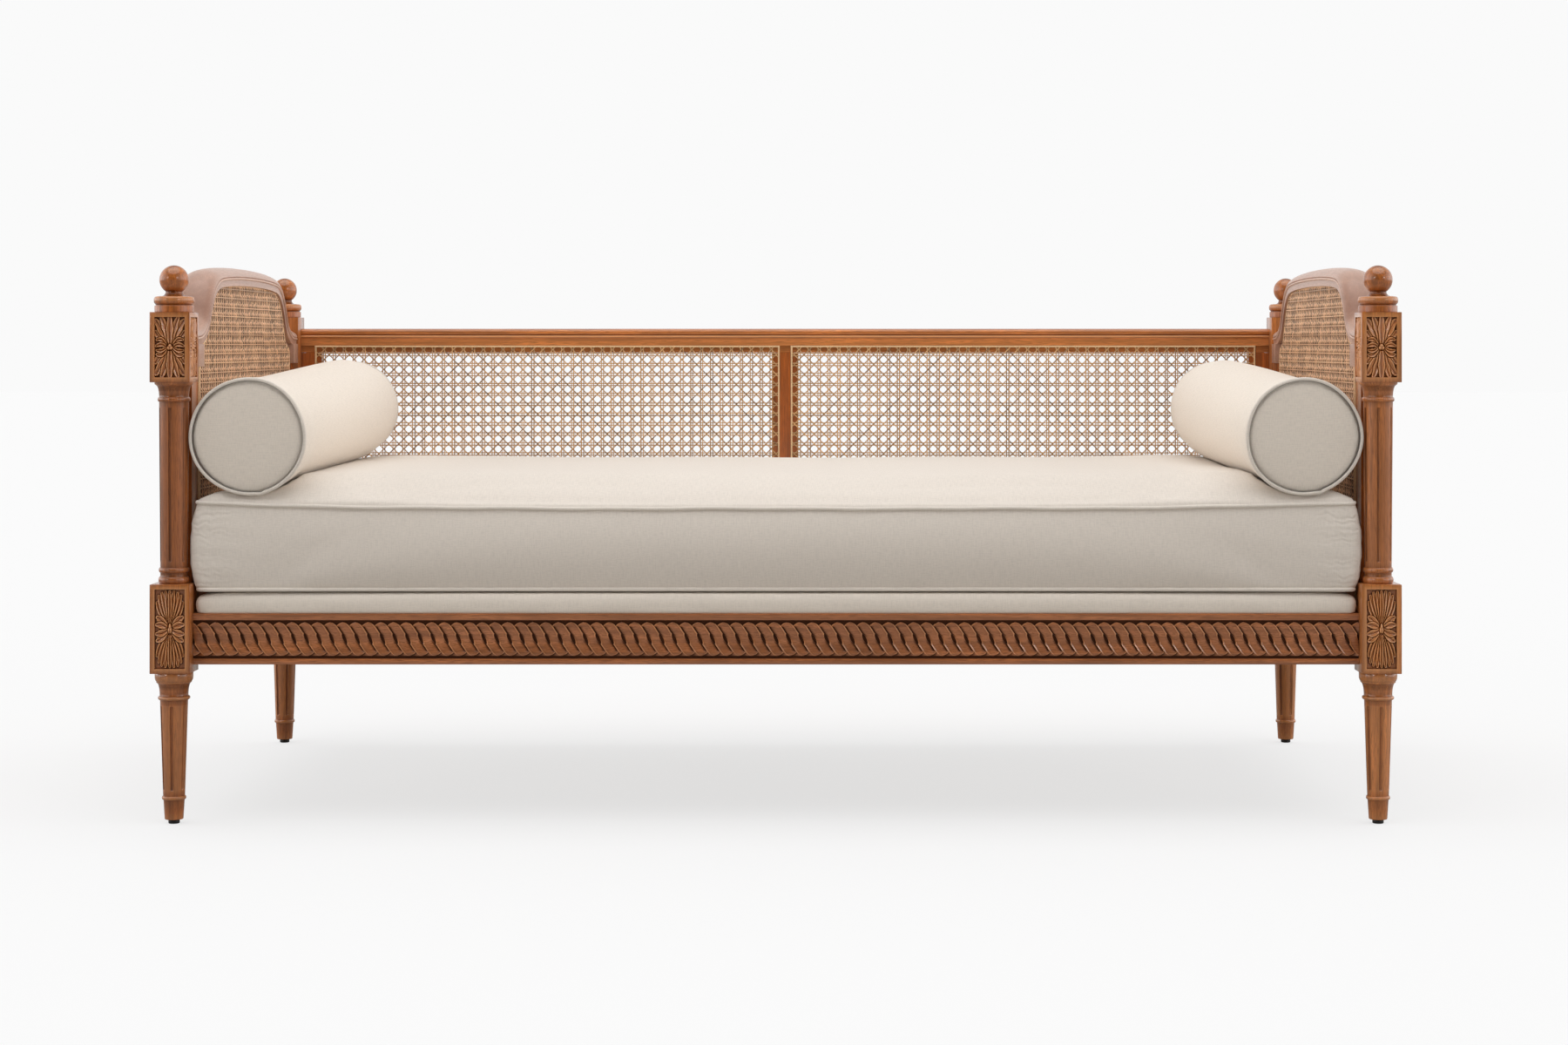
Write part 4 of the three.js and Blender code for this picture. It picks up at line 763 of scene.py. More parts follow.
def rope_heights(share, up, high_side):
    """Height and relief value of a strand at a share of its width from its left edge; its high side lies over
    the next strand, and its low side passes under the one before. The relief value paints a highlight on the
    rims and tips, and shade on the low side and in the quirk."""
    from_high = np.where(high_side > 0, 1 - share, share)
    lift = np.clip(np.abs(up) / 8, 0, 1)
    height = 0.64 + 0.30 * lift * (1 - 2 * from_high) + 0.16 * np.sin(math.pi * share) * (1 - 0.4 * lift)
    rim = np.exp(-((from_high - 0.045) / 0.045) ** 2)
    far_rim = np.exp(-((from_high - 0.955) / 0.045) ** 2)
    quirk = np.exp(-((from_high - 0.16) / 0.05) ** 2)
    tip = np.clip((np.abs(up) - 19) / 3, 0, 1)
    height += lift * (0.10 * rim - 0.05 * quirk) + 0.4 * tip * from_high
    light_and_shade_relief = LEVEL - 0.05 - 0.55 * (1 - tip) * lift * np.clip((from_high - 0.78) / 0.14, 0, 1)
    light_and_shade_relief += lift * (np.where(up > 0, 0.36, 0.3) * rim + 0.3 * tip * far_rim - 0.1 * quirk)
    return height, light_and_shade_relief


def add_rope_band(skins, length, foot, to_frame):
    """The carved band: a relief sheet with a skirt that runs back into the rail, where it is left open;
    to_frame turns (along, out, up) into the frame. Its columns follow the strands' own edges, so that the
    eyes and the round tips are cut sharp."""
    pitch = sizes().rope_pitch / MM
    relief = sizes().rope_relief / MM
    band = RAIL[1] - RAIL[0] - 2 * FILLET
    middle = RAIL[0] + FILLET + band / 2
    half = np.concatenate([
        [0.5, 1.5, 2.6, 3.8, 5.0, 6.1, 7.0, 7.5, 7.78, 8.3, 9.5], np.arange(11, 20, 1.6),
        [20.6, 22.0, 23.3, 24.4, 25.3, 26.1, 26.7, 27.05, 27.22, ROPE_TOP, 28.0, band / 2]])
    ups = np.concatenate([-half[::-1], half])[:, None]
    # The lower fillet is the narrower one, so the ground reaches further down
    ups[0] = RAIL[0] + LOW_FILLET - middle
    edge = smooth_line(ROPE_EDGE, 0.4)
    back = np.interp(np.abs(ups), edge[:, 0], edge[:, 1])
    eye = ROPE_EYE_WIDTH * np.sqrt(np.clip(1 - (ups / ROPE_EYE_HALF) ** 2, 0, 1))
    reach = np.clip(2 * (ROPE_TIP - back), 0, pitch) * (np.abs(ups) < ROPE_TOP + 0.01)
    left = np.where(ups > 0, np.maximum(eye, pitch - reach), eye)
    right = np.where(ups > 0, pitch - eye, np.minimum(pitch - eye, reach))
    right = np.maximum(right, left)
    shares = np.array([0, 0.03, 0.07, 0.12, 0.18, 0.28, 0.42, 0.58, 0.72, 0.82, 0.88, 0.93, 0.97, 1])
    height, light_and_shade_relief = rope_heights(shares, ups, ups)
    # Ground shows in the eyes and between the tips, and fades out where strands touch
    gap_left, gap_right = np.clip(left / 0.5, 0, 1), np.clip((pitch - right) / 0.5, 0, 1)
    places = np.hstack([0 * ups, np.maximum(left - 0.3, 0), left + (right - left) * shares,
                        np.minimum(right + 0.3, pitch)])

    def with_ground(field):
        first = field[:, :1] * (1 - gap_left) + ROPE_GROUND * gap_left
        last = field[:, -1:] * (1 - gap_right) + ROPE_GROUND * gap_right
        return np.where(np.abs(ups) > ROPE_TOP + 0.1, ROPE_GROUND, np.hstack([first, first, field, last]))

    height, light_and_shade_relief = with_ground(height), with_ground(light_and_shade_relief)
    count = int(math.ceil((length / 2 + 40) / pitch))
    us = (np.arange(-count, count)[None, :, None] * pitch + places[:, None, :]).reshape(len(ups), -1)
    us = np.clip(us - np.sign(ups) * back, -length / 2, length / 2)
    raised, light_and_shade_relief = np.tile(height, 2 * count) * relief, np.tile(light_and_shade_relief, 2 * count)
    bm = bmesh.new()
    layer = bm.verts.layers.float.new("relief")
    grid = []
    for row_u, up, row_h, row_c in zip(us, ups[:, 0], raised, light_and_shade_relief):
        row = []
        for a, h, c in zip(row_u, row_h, row_c):
            vert = bm.verts.new(to_frame(a, foot + h, middle + up))
            vert[layer] = c
            row.append(vert)
        grid.append(row)
    for low, high in zip(grid[:-1], grid[1:]):
        for i in range(len(low) - 1):
            bm.faces.new((low[i], low[i + 1], high[i + 1], high[i]))
    bmesh.ops.remove_doubles(bm, verts=bm.verts, dist=0.001)
    bmesh.ops.dissolve_degenerate(bm, edges=bm.edges, dist=0.001)
    rim = [edge for edge in bm.edges if edge.is_boundary]
    skirt = bmesh.ops.extrude_edge_only(bm, edges=rim)["geom"]
    flat = Vector(to_frame(0, 1, 0)) - Vector(to_frame(0, 0, 0))
    deep = Vector(to_frame(0, foot - 1.0, 0)).dot(flat)
    for vert in (g for g in skirt if isinstance(g, bmesh.types.BMVert)):
        vert.co += flat * (deep - vert.co.dot(flat))
        vert[layer] = 0.0
    bmesh.ops.recalc_face_normals(bm, faces=bm.faces)
    skins.add_bmesh(bm)


def rail_section(front):
    """A rail's section as (out, up), with eased fillets above and below its sunk band."""
    low, high = RAIL
    band_low, band_high = low + LOW_FILLET, high - FILLET
    back, sunk = front - RAIL_THICKNESS, front - BAND_SINK
    ease = 0.9
    nick = ease * 0.3
    return [(back, low), (front - ease, low), (front - nick, low + nick), (front, low + ease),
            (front, band_low - ease), (front - nick, band_low - nick), (front - ease, band_low),
            (sunk, band_low), (sunk, band_high), (front - ease, band_high), (front - nick, band_high + nick),
            (front, band_high + ease), (front, high - 3.4), (front + 0.5, high - 2.8),
            (front + 0.7, high - 2.0), (front + 0.4, high - 1.0), (front, high - ease),
            (front - nick, high - nick), (front - ease, high), (back, high)]


def rail_frame(side):
    """What turns (along, out, up) into the frame, for the front rail (side 0) or the rail of a side."""
    def to_frame(along, out, up):
        return (side * out, side * along, up) if side else (along, -out, up)
    return to_frame


def carve_seat_rails():
    """Shapes the rails under the seat; the front and the sides carry the rope band."""
    front_oak = stained_oak("stained_oak_front_rail", "x", True, RAIL_TONE)
    side_oak = stained_oak("stained_oak_side_rails", "y", True, RAIL_TONE)
    for word, side, face, reach, oak in (
            ("front", 0, OUTER_Y, INNER_X, front_oak), ("left", -1, OUTER_X, INNER_Y, side_oak),
            ("right", 1, OUTER_X, INNER_Y, side_oak)):
        to_frame = rail_frame(side)
        length = 2 * (reach - FIT_GAP)
        section = rail_section(face - RAIL_SETBACK)
        # The upper fillet is drawn paler than the lower one, as painted light
        lit_level = [0.61 if up > RAIL[0] + 30 else 0.57 for _, up in section]
        ends = [[to_frame(along, out, up) for out, up in section] for along in (-length / 2, length / 2)]
        skins = Skins()
        skins.add_loft(ends, 2 * lit_level)
        # The ground of the carving lies a little before the sunk band, so that it covers it
        add_rope_band(skins, length, face - RAIL_SETBACK - BAND_SINK + 0.4, to_frame)
        make_piece(f"{word}_rope_rail", skins, oak, replaces=[f"{word}_seat_rail"])


# Back and end frames

def mould_top_rail():
    """Runs the moulded top rail of the back, with the rebate for the cane along its lower edge."""
    half = (BACK_REAR - BACK_FRONT) / 2
    low, high = TOP_RAIL
    rebate_top = low + REBATE
    # Each point is (out, up, relief value): rebate, flat, bead, quirk and rounded crown. The bead's high
    # values paint a highlight, and the low ones at the rebate's edge and at the quirks paint shade
    side = [(half - 0.8, low, 0.5), (half, low + 0.8, 0.5), (half, rebate_top - 0.1, 0.25),
            (half, rebate_top, 0.75), (half, 781.5, 0.68), (half, 791.0, 0.68), (half, 794.0, 0.5),
            (half + 0.2, 794.6, 0.3), (half + 1.8, 795.0, 1.0), (half + 2.6, 796.1, 1.0),
            (half + 2.5, 797.6, 1.0), (half + 1.8, 798.5, 0.8), (half, 798.9, 0.35), (half, 800.4, 0.35)]
    side += [(half + 1.6 + 1.4 * math.sin(a), 803.6 - 2.6 * math.cos(a), 0.6)
             for a in np.linspace(0.3, 1.57, 4)]
    side += [((half + 3.0) * math.cos(a) ** 0.62, 804.4 + 7.6 * math.sin(a), 0.54)
             for a in np.linspace(0.1, 1.5, 10)]
    middle = (BACK_FRONT + BACK_REAR) / 2
    reach = INNER_X - FIT_GAP
    inner, outer = BACK_OPENING[0][0] - REBATE, BACK_OPENING[0][1] + REBATE
    rows, relief = [], []
    for x, rebated in ((-reach, 0), (-outer, 0), (-outer, 1), (-inner, 1), (-inner, 0),
                       (inner, 0), (inner, 1), (outer, 1), (outer, 0), (reach, 0)):
        front = [(out - REBATE_DEPTH * (rebated and i < 3), z) for i, (out, z, _) in enumerate(side)]
        section = front + [(-out, z) for out, z, _ in side[::-1]]
        rows.append([(x, middle - out, z) for out, z in section])
        relief += [tone for *_, tone in side + side[::-1]]
    skins = Skins()
    skins.add_loft(rows[::-1], relief)
    # The top rail is the same stained oak, drawn lighter as painted light
    oak = stained_oak("stained_oak_top_rail", "x", True, (1.5, 1.55, 1.3))
    make_piece("moulded_top_rail", skins, oak, replaces=["back_top_rail"])


def inset_line(outline, distance):
    """A closed anticlockwise outline moved in, corner by corner."""
    before = outline - np.roll(outline, 1, axis=0)
    after = np.roll(outline, -1, axis=0) - outline
    before /= np.linalg.norm(before, axis=1)[:, None]
    after /= np.linalg.norm(after, axis=1)[:, None]
    mitre = np.stack([-before[:, 1] - after[:, 1], before[:, 0] + after[:, 0]], axis=1)
    mitre /= np.linalg.norm(mitre, axis=1)[:, None]
    reach = distance / (mitre * np.stack([-before[:, 1], before[:, 0]], axis=1)).sum(1)
    return outline + mitre * reach[:, None]


def end_rebate():
    """The closed outline of the cane's rebate in an end frame, anticlockwise in (y, z)."""
    straight = np.array(REBATE_HALF[:2], float)
    half = np.vstack([straight, smooth_line(REBATE_HALF[2:], 4)])
    return mirrored_line(half)[::-1]


def back_rebate(side):
    """The closed outline of the cane's rebate in one half of the back, anticlockwise in (x, z)."""
    (x0, x1), (z0, z1) = BACK_OPENING
    low, high, foot, head = x0 - REBATE, x1 + REBATE, z0 - REBATE, z1 + REBATE
    outline = np.array([(low, foot), (high, foot), (high, head), (low, head)], float)
    return outline if side > 0 else (outline * [-1, 1])[::-1]


def add_spline(skins, outline, to_frame, face):
    """A reed bead pressed into the rebate: a half-round strip along the outline."""
    section = [(0.3, 0.0), (0.3, 2.4), (0.8, 3.3), (1.8, 3.9), (2.7, 3.6), (3.4, 2.8), (3.7, 1.6), (3.7, 0.0)]
    insets = [(inset_line(outline, distance), height) for distance, height in section]
    rows = [[to_frame(line[i][0], face - height, line[i][1]) for line, height in insets]
            for i in range(len(outline))]
    # The high relief value paints a highlight along the bead
    skins.add_loft(rows, 0.9, closed_path=True)


def shape_crests():
    """Bends the crest rails: band, bead, rounded crown, shoulders at the posts and the ledge for the cane."""
    line = mirrored_line(smooth_line(CREST_HALF, 7))
    normals = line_normals(line)
    normals[[0, -1]] = (0, 1)
    crown = [(1.6 + (CREST_CROWN - 1.6) * math.sin(a), 1.6 + (BLOCK / 2 - 1.6) * (1 - math.cos(a)))
             for a in np.linspace(0.05, math.pi / 2, 11)]
    bead = [(-3.6, 3.4), (-3.2, 2.6), (-2.4, 1.6), (-1.3, 1.2), (-0.2, 1.6), (0.4, 2.6), (0.8, 3.6),
            (1.4, 3.2)]
    bead_light_and_shade = {-3.6: -0.15, -2.4: 0.2, -1.3: 0.4, -0.2: 0.2, 0.8: -0.15}
    side = [(-CREST_BAND - 1, CREST_FACE), *bead, *crown]
    section = side + [(rise, BLOCK - across) for rise, across in side[-2::-1]]
    rebate = end_rebate()
    opening = inset_line(rebate, REBATE)
    outer = inset_line(rebate, -5.0)
    above = np.flatnonzero(rebate[:, 1] >= CREST_JOINT)
    # The crests' pale milky look is a painted sheen, standing for the overhead light's reflection
    oak = stained_oak("stained_oak_crests", "y", True, 0.95, 0.62)
    for side_x, word in SIDE_WORDS:
        skins = Skins()
        rows = [[(side_x * (INNER_X + across), y + n[0] * rise, z + n[1] * rise) for rise, across in section]
                for (y, z), n in zip(line, normals)]
        # The steep shoulders, and the crest beside the posts, are painted darker than the top as shade; the
        # bead gets a painted highlight with shaded edges
        relief = [[LEVEL - 0.5 * n[0] ** 2 - 0.1 * (abs(y) > 395) + bead_light_and_shade.get(rise, 0)
                   for rise, _ in section] for (y, _), n in zip(line, normals)]
        skins.add_loft(rows if side_x < 0 else [row[::-1] for row in rows], np.ravel(relief))
        # The crest's lower ends by the posts get a low relief value, painted darker as shade
        for sign in (-1, 1):
            ys = sorted((sign * (INNER_Y - FIT_GAP), sign * 391.0))
            xs = sorted((side_x * INNER_X, side_x * OUTER_X))
            skins.add_box((xs[0], ys[0], CREST_JOINT), (xs[1], ys[1], 782.0), 0.5, 0.42)
        inner_x, outer_x = side_x * (END_INNER + CANE_SEAT + 1.4), side_x * END_OUTER
        ledge = [[(inner_x, *outer[i]), (outer_x, *outer[i]), (outer_x, *opening[i]), (inner_x, *opening[i])]
                 for i in above]
        skins.add_loft(ledge if side_x > 0 else [row[::-1] for row in ledge], 0.7)
        make_piece(f"{word}_crest", skins, oak, replaces=[f"{word}_crest_rail"])


def finish_frame():
    """Gives the frame's plain members their eased edges and finish."""
    stiles = [f"back_{word}_stile" for word in ("left", "centre", "right")]
    stiles += [f"{word}_end_{end_word}_stile" for _, word in SIDE_WORDS for _, end_word in END_WORDS]
    bearers = [f"bearer_{i}" for i in (1, 2, 3)]
    blocks = [f"{name}_corner_block" for name, *_ in CORNERS]
    pine = ("#d3b07c", "#b58a55")
    for names, material in (
            (stiles, stained_oak("stained_oak_stiles", "z", tone=(1.05, 0.83, 0.42))),
            (["back_bottom_rail", "rear_seat_rail"], stained_oak("stained_oak_plain_rails", "x", tone=1.1)),
            ([f"{word}_end_bottom_rail" for _, word in SIDE_WORDS],
             stained_oak("stained_oak_end_rails", "y", tone=1.1)),
            (["front_ledger", "rear_ledger"], raw_wood("planed_pine_x", "x", *pine)),
            (bearers + blocks, raw_wood("planed_pine_y", "y", *pine)),
            (["deck_board"], raw_wood("birch_plywood", "x", "#d9bf94", "#c4a271", 3, 60))):
        for name in names:
            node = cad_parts[name]
            node.data.materials.clear()
            node.data.materials.append(material)
            ease = node.modifiers.new("eased_edges", "BEVEL")
            ease.width = 0.0008
            ease.segments = 2
            ease.limit_method = "ANGLE"
            ease.angle_limit = math.radians(40)


# Cane

# Half the distance between the strands of a pair
CANE_PAIR = 2.2
# Steps along straight strands, in millimetres, and the shortest stretch that is woven
STRAIGHT_STEP, SHORTEST = 38.0, 4
# A strand's section as (share of its width, millimetres outward, relief value); its edges and the edges of
# its back carry painted shade
STRAND = (
    (-0.5, -0.07, 0.14), (-0.25, -0.35, 0.6), (0.25, -0.35, 0.6), (0.5, -0.07, 0.14), (0.42, 0.3, 0.05),
    (0.0, 0.33, 0.62), (-0.42, 0.3, 0.05))


def clipped_spans(outline, start, direction):
    """Stretches of a line that lie inside a closed outline, as pairs of distances."""
    edge = np.roll(outline, -1, axis=0) - outline
    cross = direction[0] * edge[:, 1] - direction[1] * edge[:, 0]
    meets = np.abs(cross) > 1e-9
    cross = np.where(meets, cross, 1)
    away = outline - start
    s = (away[:, 0] * edge[:, 1] - away[:, 1] * edge[:, 0]) / cross
    t = (away[:, 0] * direction[1] - away[:, 1] * direction[0]) / cross
    hits = np.sort(s[meets & (t >= 0) & (t < 1)])
    return [(s0, s1) for s0, s1 in zip(hits[:-1:2], hits[1::2]) if s1 - s0 > SHORTEST]


def lay_strands(low, high, middle, pitch, width):
    """The strands of a panel as (start, direction, depth, sway, waves, step, width). A strand's depth sways
    along it, in waves that pass over one pair and under the next."""
    strands = []
    for axis in (0, 1):
        count = int((high[axis] - low[axis]) / pitch) + 2
        direction = np.array([0.0, 1.0]) if axis == 0 else np.array([1.0, 0.0])
        for k in range(-count, count + 1):
            for side in (-1, 1):
                start = np.array(middle, float)
                start[axis] = middle[axis] + k * pitch + side * CANE_PAIR
                strands.append((start, direction, 0.55 * side * axis, 0.0, 0.0, STRAIGHT_STEP, width))
    reach = int((high - low).sum() / pitch) + 3
    # Distances along a diagonal of its crossings with the level pairs are whole turns of this wave
    turn = pitch * math.sqrt(2)
    for lean in (-1, 1):
        direction = np.array([1.0, lean]) / math.sqrt(2)
        for k in range(-reach, reach):
            start = np.array(middle) + [(k + 0.5) * pitch, 0]
            strands.append((start, direction, lean * 0.25, lean * 0.85, 2 * math.pi / turn, turn / 4,
                            width * 1.1))
    return strands


def weave_cane(name, outline, to_frame, face, node, middle, material, fine=1.0, thick=1.0):
    """Weaves a panel: paired upright and level strands, and diagonals that pass over one and under the other.
    Fine is the share of the cane pitch that it is woven at, and thick how many times a strand's own thickness
    it has."""
    pitch = sizes().cane_pitch / MM * fine
    width = sizes().strand_width / MM * (1 + 0.12 * (thick - 1))
    random = np.random.default_rng(7)
    skins = Skins()
    for start, direction, depth, sway, waves, step, wide in lay_strands(
            outline.min(0), outline.max(0), middle, pitch, width):
        normal = np.array([-direction[1], direction[0]])
        for s0, s1 in clipped_spans(outline, start, direction):
            s = np.arange(math.ceil(s0 / step), math.floor(s1 / step) + 1) * step
            s = np.unique(np.concatenate([[s0], s, [s1]]))
            s = s[np.concatenate([[True], np.diff(s) > 0.4])]
            if len(s) < 2:
                continue
            drift = np.interp(s, [s0, (s0 + s1) / 2, s1], random.normal(0, 0.22, 3))
            centre = start + s[:, None] * direction + drift[:, None] * normal
            depths = (depth + sway * np.cos(waves * s)) * thick ** 0.25 + face
            w = wide * random.uniform(0.88, 1.12)
            tone = random.normal(0, 0.13)
            rows = [[to_frame(a + normal[0] * c * w, d + h * thick, b + normal[1] * c * w)
                     for c, h, _ in STRAND] for (a, b), d in zip(centre, depths)]
            relief = [painted_light + tone for *_, painted_light in STRAND] * len(rows)
            skins.add_loft(rows, np.clip(relief, 0, 1))
    return make_piece(name, skins, material, replaces=[node], sharp_degrees=50)


def press_spline(name, outline, to_frame, face, node):
    """Presses the reed bead that holds a panel into its rebate."""
    skins = Skins()
    add_spline(skins, outline, to_frame, face)
    # The reed is drawn paler than the cane, partly its own colour and partly a painted highlight
    make_piece(name, skins, split_cane("reed_spline", (1.15, 1.05, 1.0)), replaces=[node])


def weave_back():
    """Weaves the two cane panels of the back and presses in their splines."""
    def to_frame(a, out, b):
        return (a, out, b)

    (x0, _), (_, z1) = BACK_OPENING
    # Holes lie half a pitch from the pairs; the first of them lie on the ledge, close to the spline
    half_pitch = sizes().cane_pitch / MM / 2
    cane = split_cane("split_rattan_cane", (1.0, 0.84, 0.6))
    for side, word in SIDE_WORDS:
        rebate = back_rebate(side)
        middle = (side * (x0 - REBATE + 7.2 + half_pitch), z1 + REBATE - 8.2 + half_pitch)
        weave_cane(f"back_{word}_woven_cane", inset_line(rebate, CANE_INSET), to_frame, BACK_FRONT + 1.6,
                   f"back_{word}_cane", middle, cane)
        press_spline(f"back_{word}_reed_spline", rebate, to_frame, BACK_FRONT + REBATE_DEPTH,
                     f"back_{word}_spline")


def weave_ends():
    """Weaves the two cane panels of the ends and presses in their splines."""
    rebate = end_rebate()
    seat = END_INNER + CANE_SEAT
    # The ends' cane has its own tone, paler and less golden than the back's
    cane = split_cane("split_rattan_cane_browned", (1.1, 1.0, 1.0))
    for side, word in SIDE_WORDS:
        def to_frame(a, out, b, side=side):
            return (side * out, a, b)

        weave_cane(f"{word}_end_woven_cane", inset_line(rebate, CANE_INSET), to_frame, seat,
                   f"{word}_end_cane", (0, 640), cane, 0.82, 3.6)
        press_spline(f"{word}_end_reed_spline", rebate, to_frame, seat + 2.4, f"{word}_end_spline")


# Upholstery

# The bolsters' and the deck's linen, as shares of the cushion's: the same linen, drawn a little lighter
# as painted light
LIT_LINEN = (1.06, 1.05, 1.03)


def padded_outline(half_x, half_y, radius, draw_in, spacing=14.0):
    """A rectangle with round corners and sides drawn in between them, anticlockwise."""
    points = []
    straight_x, straight_y = half_x - radius, half_y - radius
    for quarter, (sx, sy) in enumerate(((1, 1), (-1, 1), (-1, -1), (1, -1))):
        for step in range(7):
            a = math.pi / 2 * (quarter + step / 6)
            points.append((sx * straight_x + radius * math.cos(a), sy * straight_y + radius * math.sin(a)))
        runs_along = quarter % 2 == 0
        count = int(2 * (straight_x if runs_along else straight_y) / spacing)
        for t in 1 - 2 * np.arange(1, count) / count:
            pull = draw_in * (1 - t ** 4)
            if runs_along:
                points.append((sx * t * straight_x, sy * (half_y - pull)))
            else:
                points.append((sx * (half_x - pull), sy * t * straight_y))
    return np.array(points)


def read_all(items, name, width=3, kind=float):
    """One property of all of a mesh's points, corners or faces, in rows where it is a vector."""
    values = np.zeros(len(items) * width, kind)
    items.foreach_get(name, values)
    return values.reshape(-1, width) if width > 1 else values


def points_of(mesh):
    return read_all(mesh.vertices, "co") / MM


def set_points(mesh, points):
    mesh.vertices.foreach_set("co", (points * MM).ravel())
    mesh.update()
    mesh.shade_smooth()


def map_threads(mesh, place_of):
    """Writes the cloth's own coordinates, in metres along and across the threads, to each face corner."""
    corners = read_all(mesh.vertices, "co")[read_all(mesh.loops, "vertex_index", 1, int)]
    corners_per_face = read_all(mesh.polygons, "loop_total", 1, int)
    normals = np.repeat(read_all(mesh.polygons, "normal"), corners_per_face, axis=0)
    places = np.zeros((len(mesh.loops), 3))
    places[:, :2] = place_of(corners, normals)
    mesh.attributes.new("threads", "FLOAT_VECTOR", "CORNER").data.foreach_set("vector", places.ravel())


def box_threads(co, normal):
    """Threads of a boxed cushion: each panel is cut straight along the cushion's own edges."""
    flat = np.abs(normal)
    is_top = (flat[:, 2] > flat[:, 0]) & (flat[:, 2] > flat[:, 1])
    is_end = ~is_top & (flat[:, 0] > flat[:, 1])
    along = np.where(is_end, co[:, 1], co[:, 0])
    return np.stack([along, np.where(is_top, co[:, 1], co[:, 2])], axis=1)


# How a linen cover moves as cloth, and for how many frames
COVER = {
    "quality": 4, "mass": 0.3, "tension_stiffness": 25, "compression_stiffness": 25, "shear_stiffness": 12,
    "bending_stiffness": 0.6, "use_pressure": True, "vertex_group_mass": "seams",
}
FRAMES = 20


def simulate_padding(piece, voxel, pressure, cap, is_pinned):
    """Lets the cover swell as cloth: remesh, simulate, limit how far each point went, and keep the result."""
    mesh = piece.data
    remesh = piece.modifiers.new("remesh", "REMESH")
    remesh.mode = "VOXEL"
    remesh.voxel_size = voxel * MM
    fresh = bpy.data.meshes.new_from_object(piece.evaluated_get(bpy.context.evaluated_depsgraph_get()))
    piece.modifiers.remove(remesh)
    name, material = mesh.name, mesh.materials[0]
    piece.data = fresh
    bpy.data.meshes.remove(mesh)
    fresh.name = name
    if not fresh.materials:
        fresh.materials.append(material)
    rest = read_all(fresh.vertices, "co")
    pins = piece.vertex_groups.new(name="seams")
    pins.add(np.flatnonzero(is_pinned(rest / MM)).tolist(), 1.0, "REPLACE")
    cloth = piece.modifiers.new("cover", "CLOTH")
    for setting, value in COVER.items():
        setattr(cloth.settings, setting, value)
    cloth.settings.uniform_pressure_force = pressure
    cloth.settings.effector_weights.gravity = 0
    cloth.collision_settings.use_collision = False
    cloth.point_cache.frame_start = 1
    cloth.point_cache.frame_end = FRAMES
    for number in range(1, FRAMES + 1):
        bpy.context.scene.frame_set(number)
    swollen = piece.evaluated_get(bpy.context.evaluated_depsgraph_get())
    moved = read_all(swollen.data.vertices, "co") - rest
    moved *= np.minimum(1, cap * MM / np.maximum(np.linalg.norm(moved, axis=1), 1e-9))[:, None]
    piece.modifiers.remove(cloth)
    piece.vertex_groups.clear()
    fresh.vertices.foreach_set("co", (rest + moved).ravel())
    fresh.update()
    bpy.context.scene.frame_set(1)


def add_welt(skins, path, normals, radius, wobble):
    """A covered cord along a closed path; normals point out of the padding at each point, and the relief is
    low, for painted shade, where the cord turns into the seam."""
    along = np.roll(path, -1, axis=0) - np.roll(path, 1, axis=0)
    along /= np.linalg.norm(along, axis=1)[:, None]
    out = normals - (normals * along).sum(1)[:, None] * along
    out /= np.linalg.norm(out, axis=1)[:, None]
    side = np.cross(along, out)
    sides = 12
    turns = np.arange(sides) * 2 * math.pi / sides
    depth = np.interp(np.cos(turns), [-1, -0.4, 0.1, 1], [0, 0, 1, 1])
    rows = []
    for i, (p, o, s) in enumerate(zip(path, out, side)):
        r = radius * (1 + wobble * math.sin(i * 1.7) * math.sin(i * 0.61))
        rows.append([p + r * (math.cos(a) * o + math.sin(a) * s) for a in turns])
    skins.add_loft(rows, np.tile(depth, len(rows)), closed_path=True)


def nearest_on(piece, points):
    """The nearest place on the piece's surface to each point."""
    mesh = piece.data
    tree = BVHTree.FromPolygons([v.co for v in mesh.vertices], [p.vertices for p in mesh.polygons])
    return np.array([tree.find_nearest(Vector(point) * MM)[0] for point in points]) / MM


def smoothed(values, times=3):
    """A closed run of values, softened."""
    for _ in range(times):
        values = 0.25 * np.roll(values, 1, axis=0) + 0.5 * values + 0.25 * np.roll(values, -1, axis=0)
    return values


def cushion_lift(x):
    return CUSHION_END_LIFT * (np.abs(x) / CUSHION_HALF_X) ** 4


def bolster_axis(side):
    """The bolster's start, direction and length, for its side of the frame."""
    start = np.array(BOLSTER_START) * [side, 1, 1]
    run = np.array(BOLSTER_END) * [side, 1, 1] - start
    length = np.linalg.norm(run)
    return start, run / length, length


def press_beds(points, radius):
    """Presses the cushion's top down where the bolsters lie on it."""
    for side in (-1, 1):
        start, direction, length = bolster_axis(side)
        away = points - start
        along = away @ direction
        spot = start + along[:, None] * direction
        across = np.abs(points[:, 0] - spot[:, 0])
        reach = radius + 2.0 * (along < 9)
        inside = (along > -12) & (along < length + 12) & (across < reach)
        floor = spot[:, 2] - np.sqrt(np.clip(reach ** 2 - across ** 2, 0, None))
        top = points[:, 2] > CUSHION_BOTTOM + 60
        points[:, 2] = np.where(inside & top, np.minimum(points[:, 2], floor), points[:, 2])
    return points


def at_height(flat, z, lifted=1.0):
    """A flat outline of the cushion set at a height, with a share of the ends' lift."""
    return np.column_stack([flat[:, 0], flat[:, 1] + CUSHION_MID_Y, z + lifted * cushion_lift(flat[:, 0])])


def moved_in(outline, inset):
    return outline * [1 - inset / CUSHION_HALF_X, 1 - inset / CUSHION_HALF_Y]


def from_edges(points):
    """How far each point lies inside the cushion's ends and sides."""
    return CUSHION_HALF_X - np.abs(points[:, 0]), CUSHION_HALF_Y - np.abs(points[:, 1] - CUSHION_MID_Y)


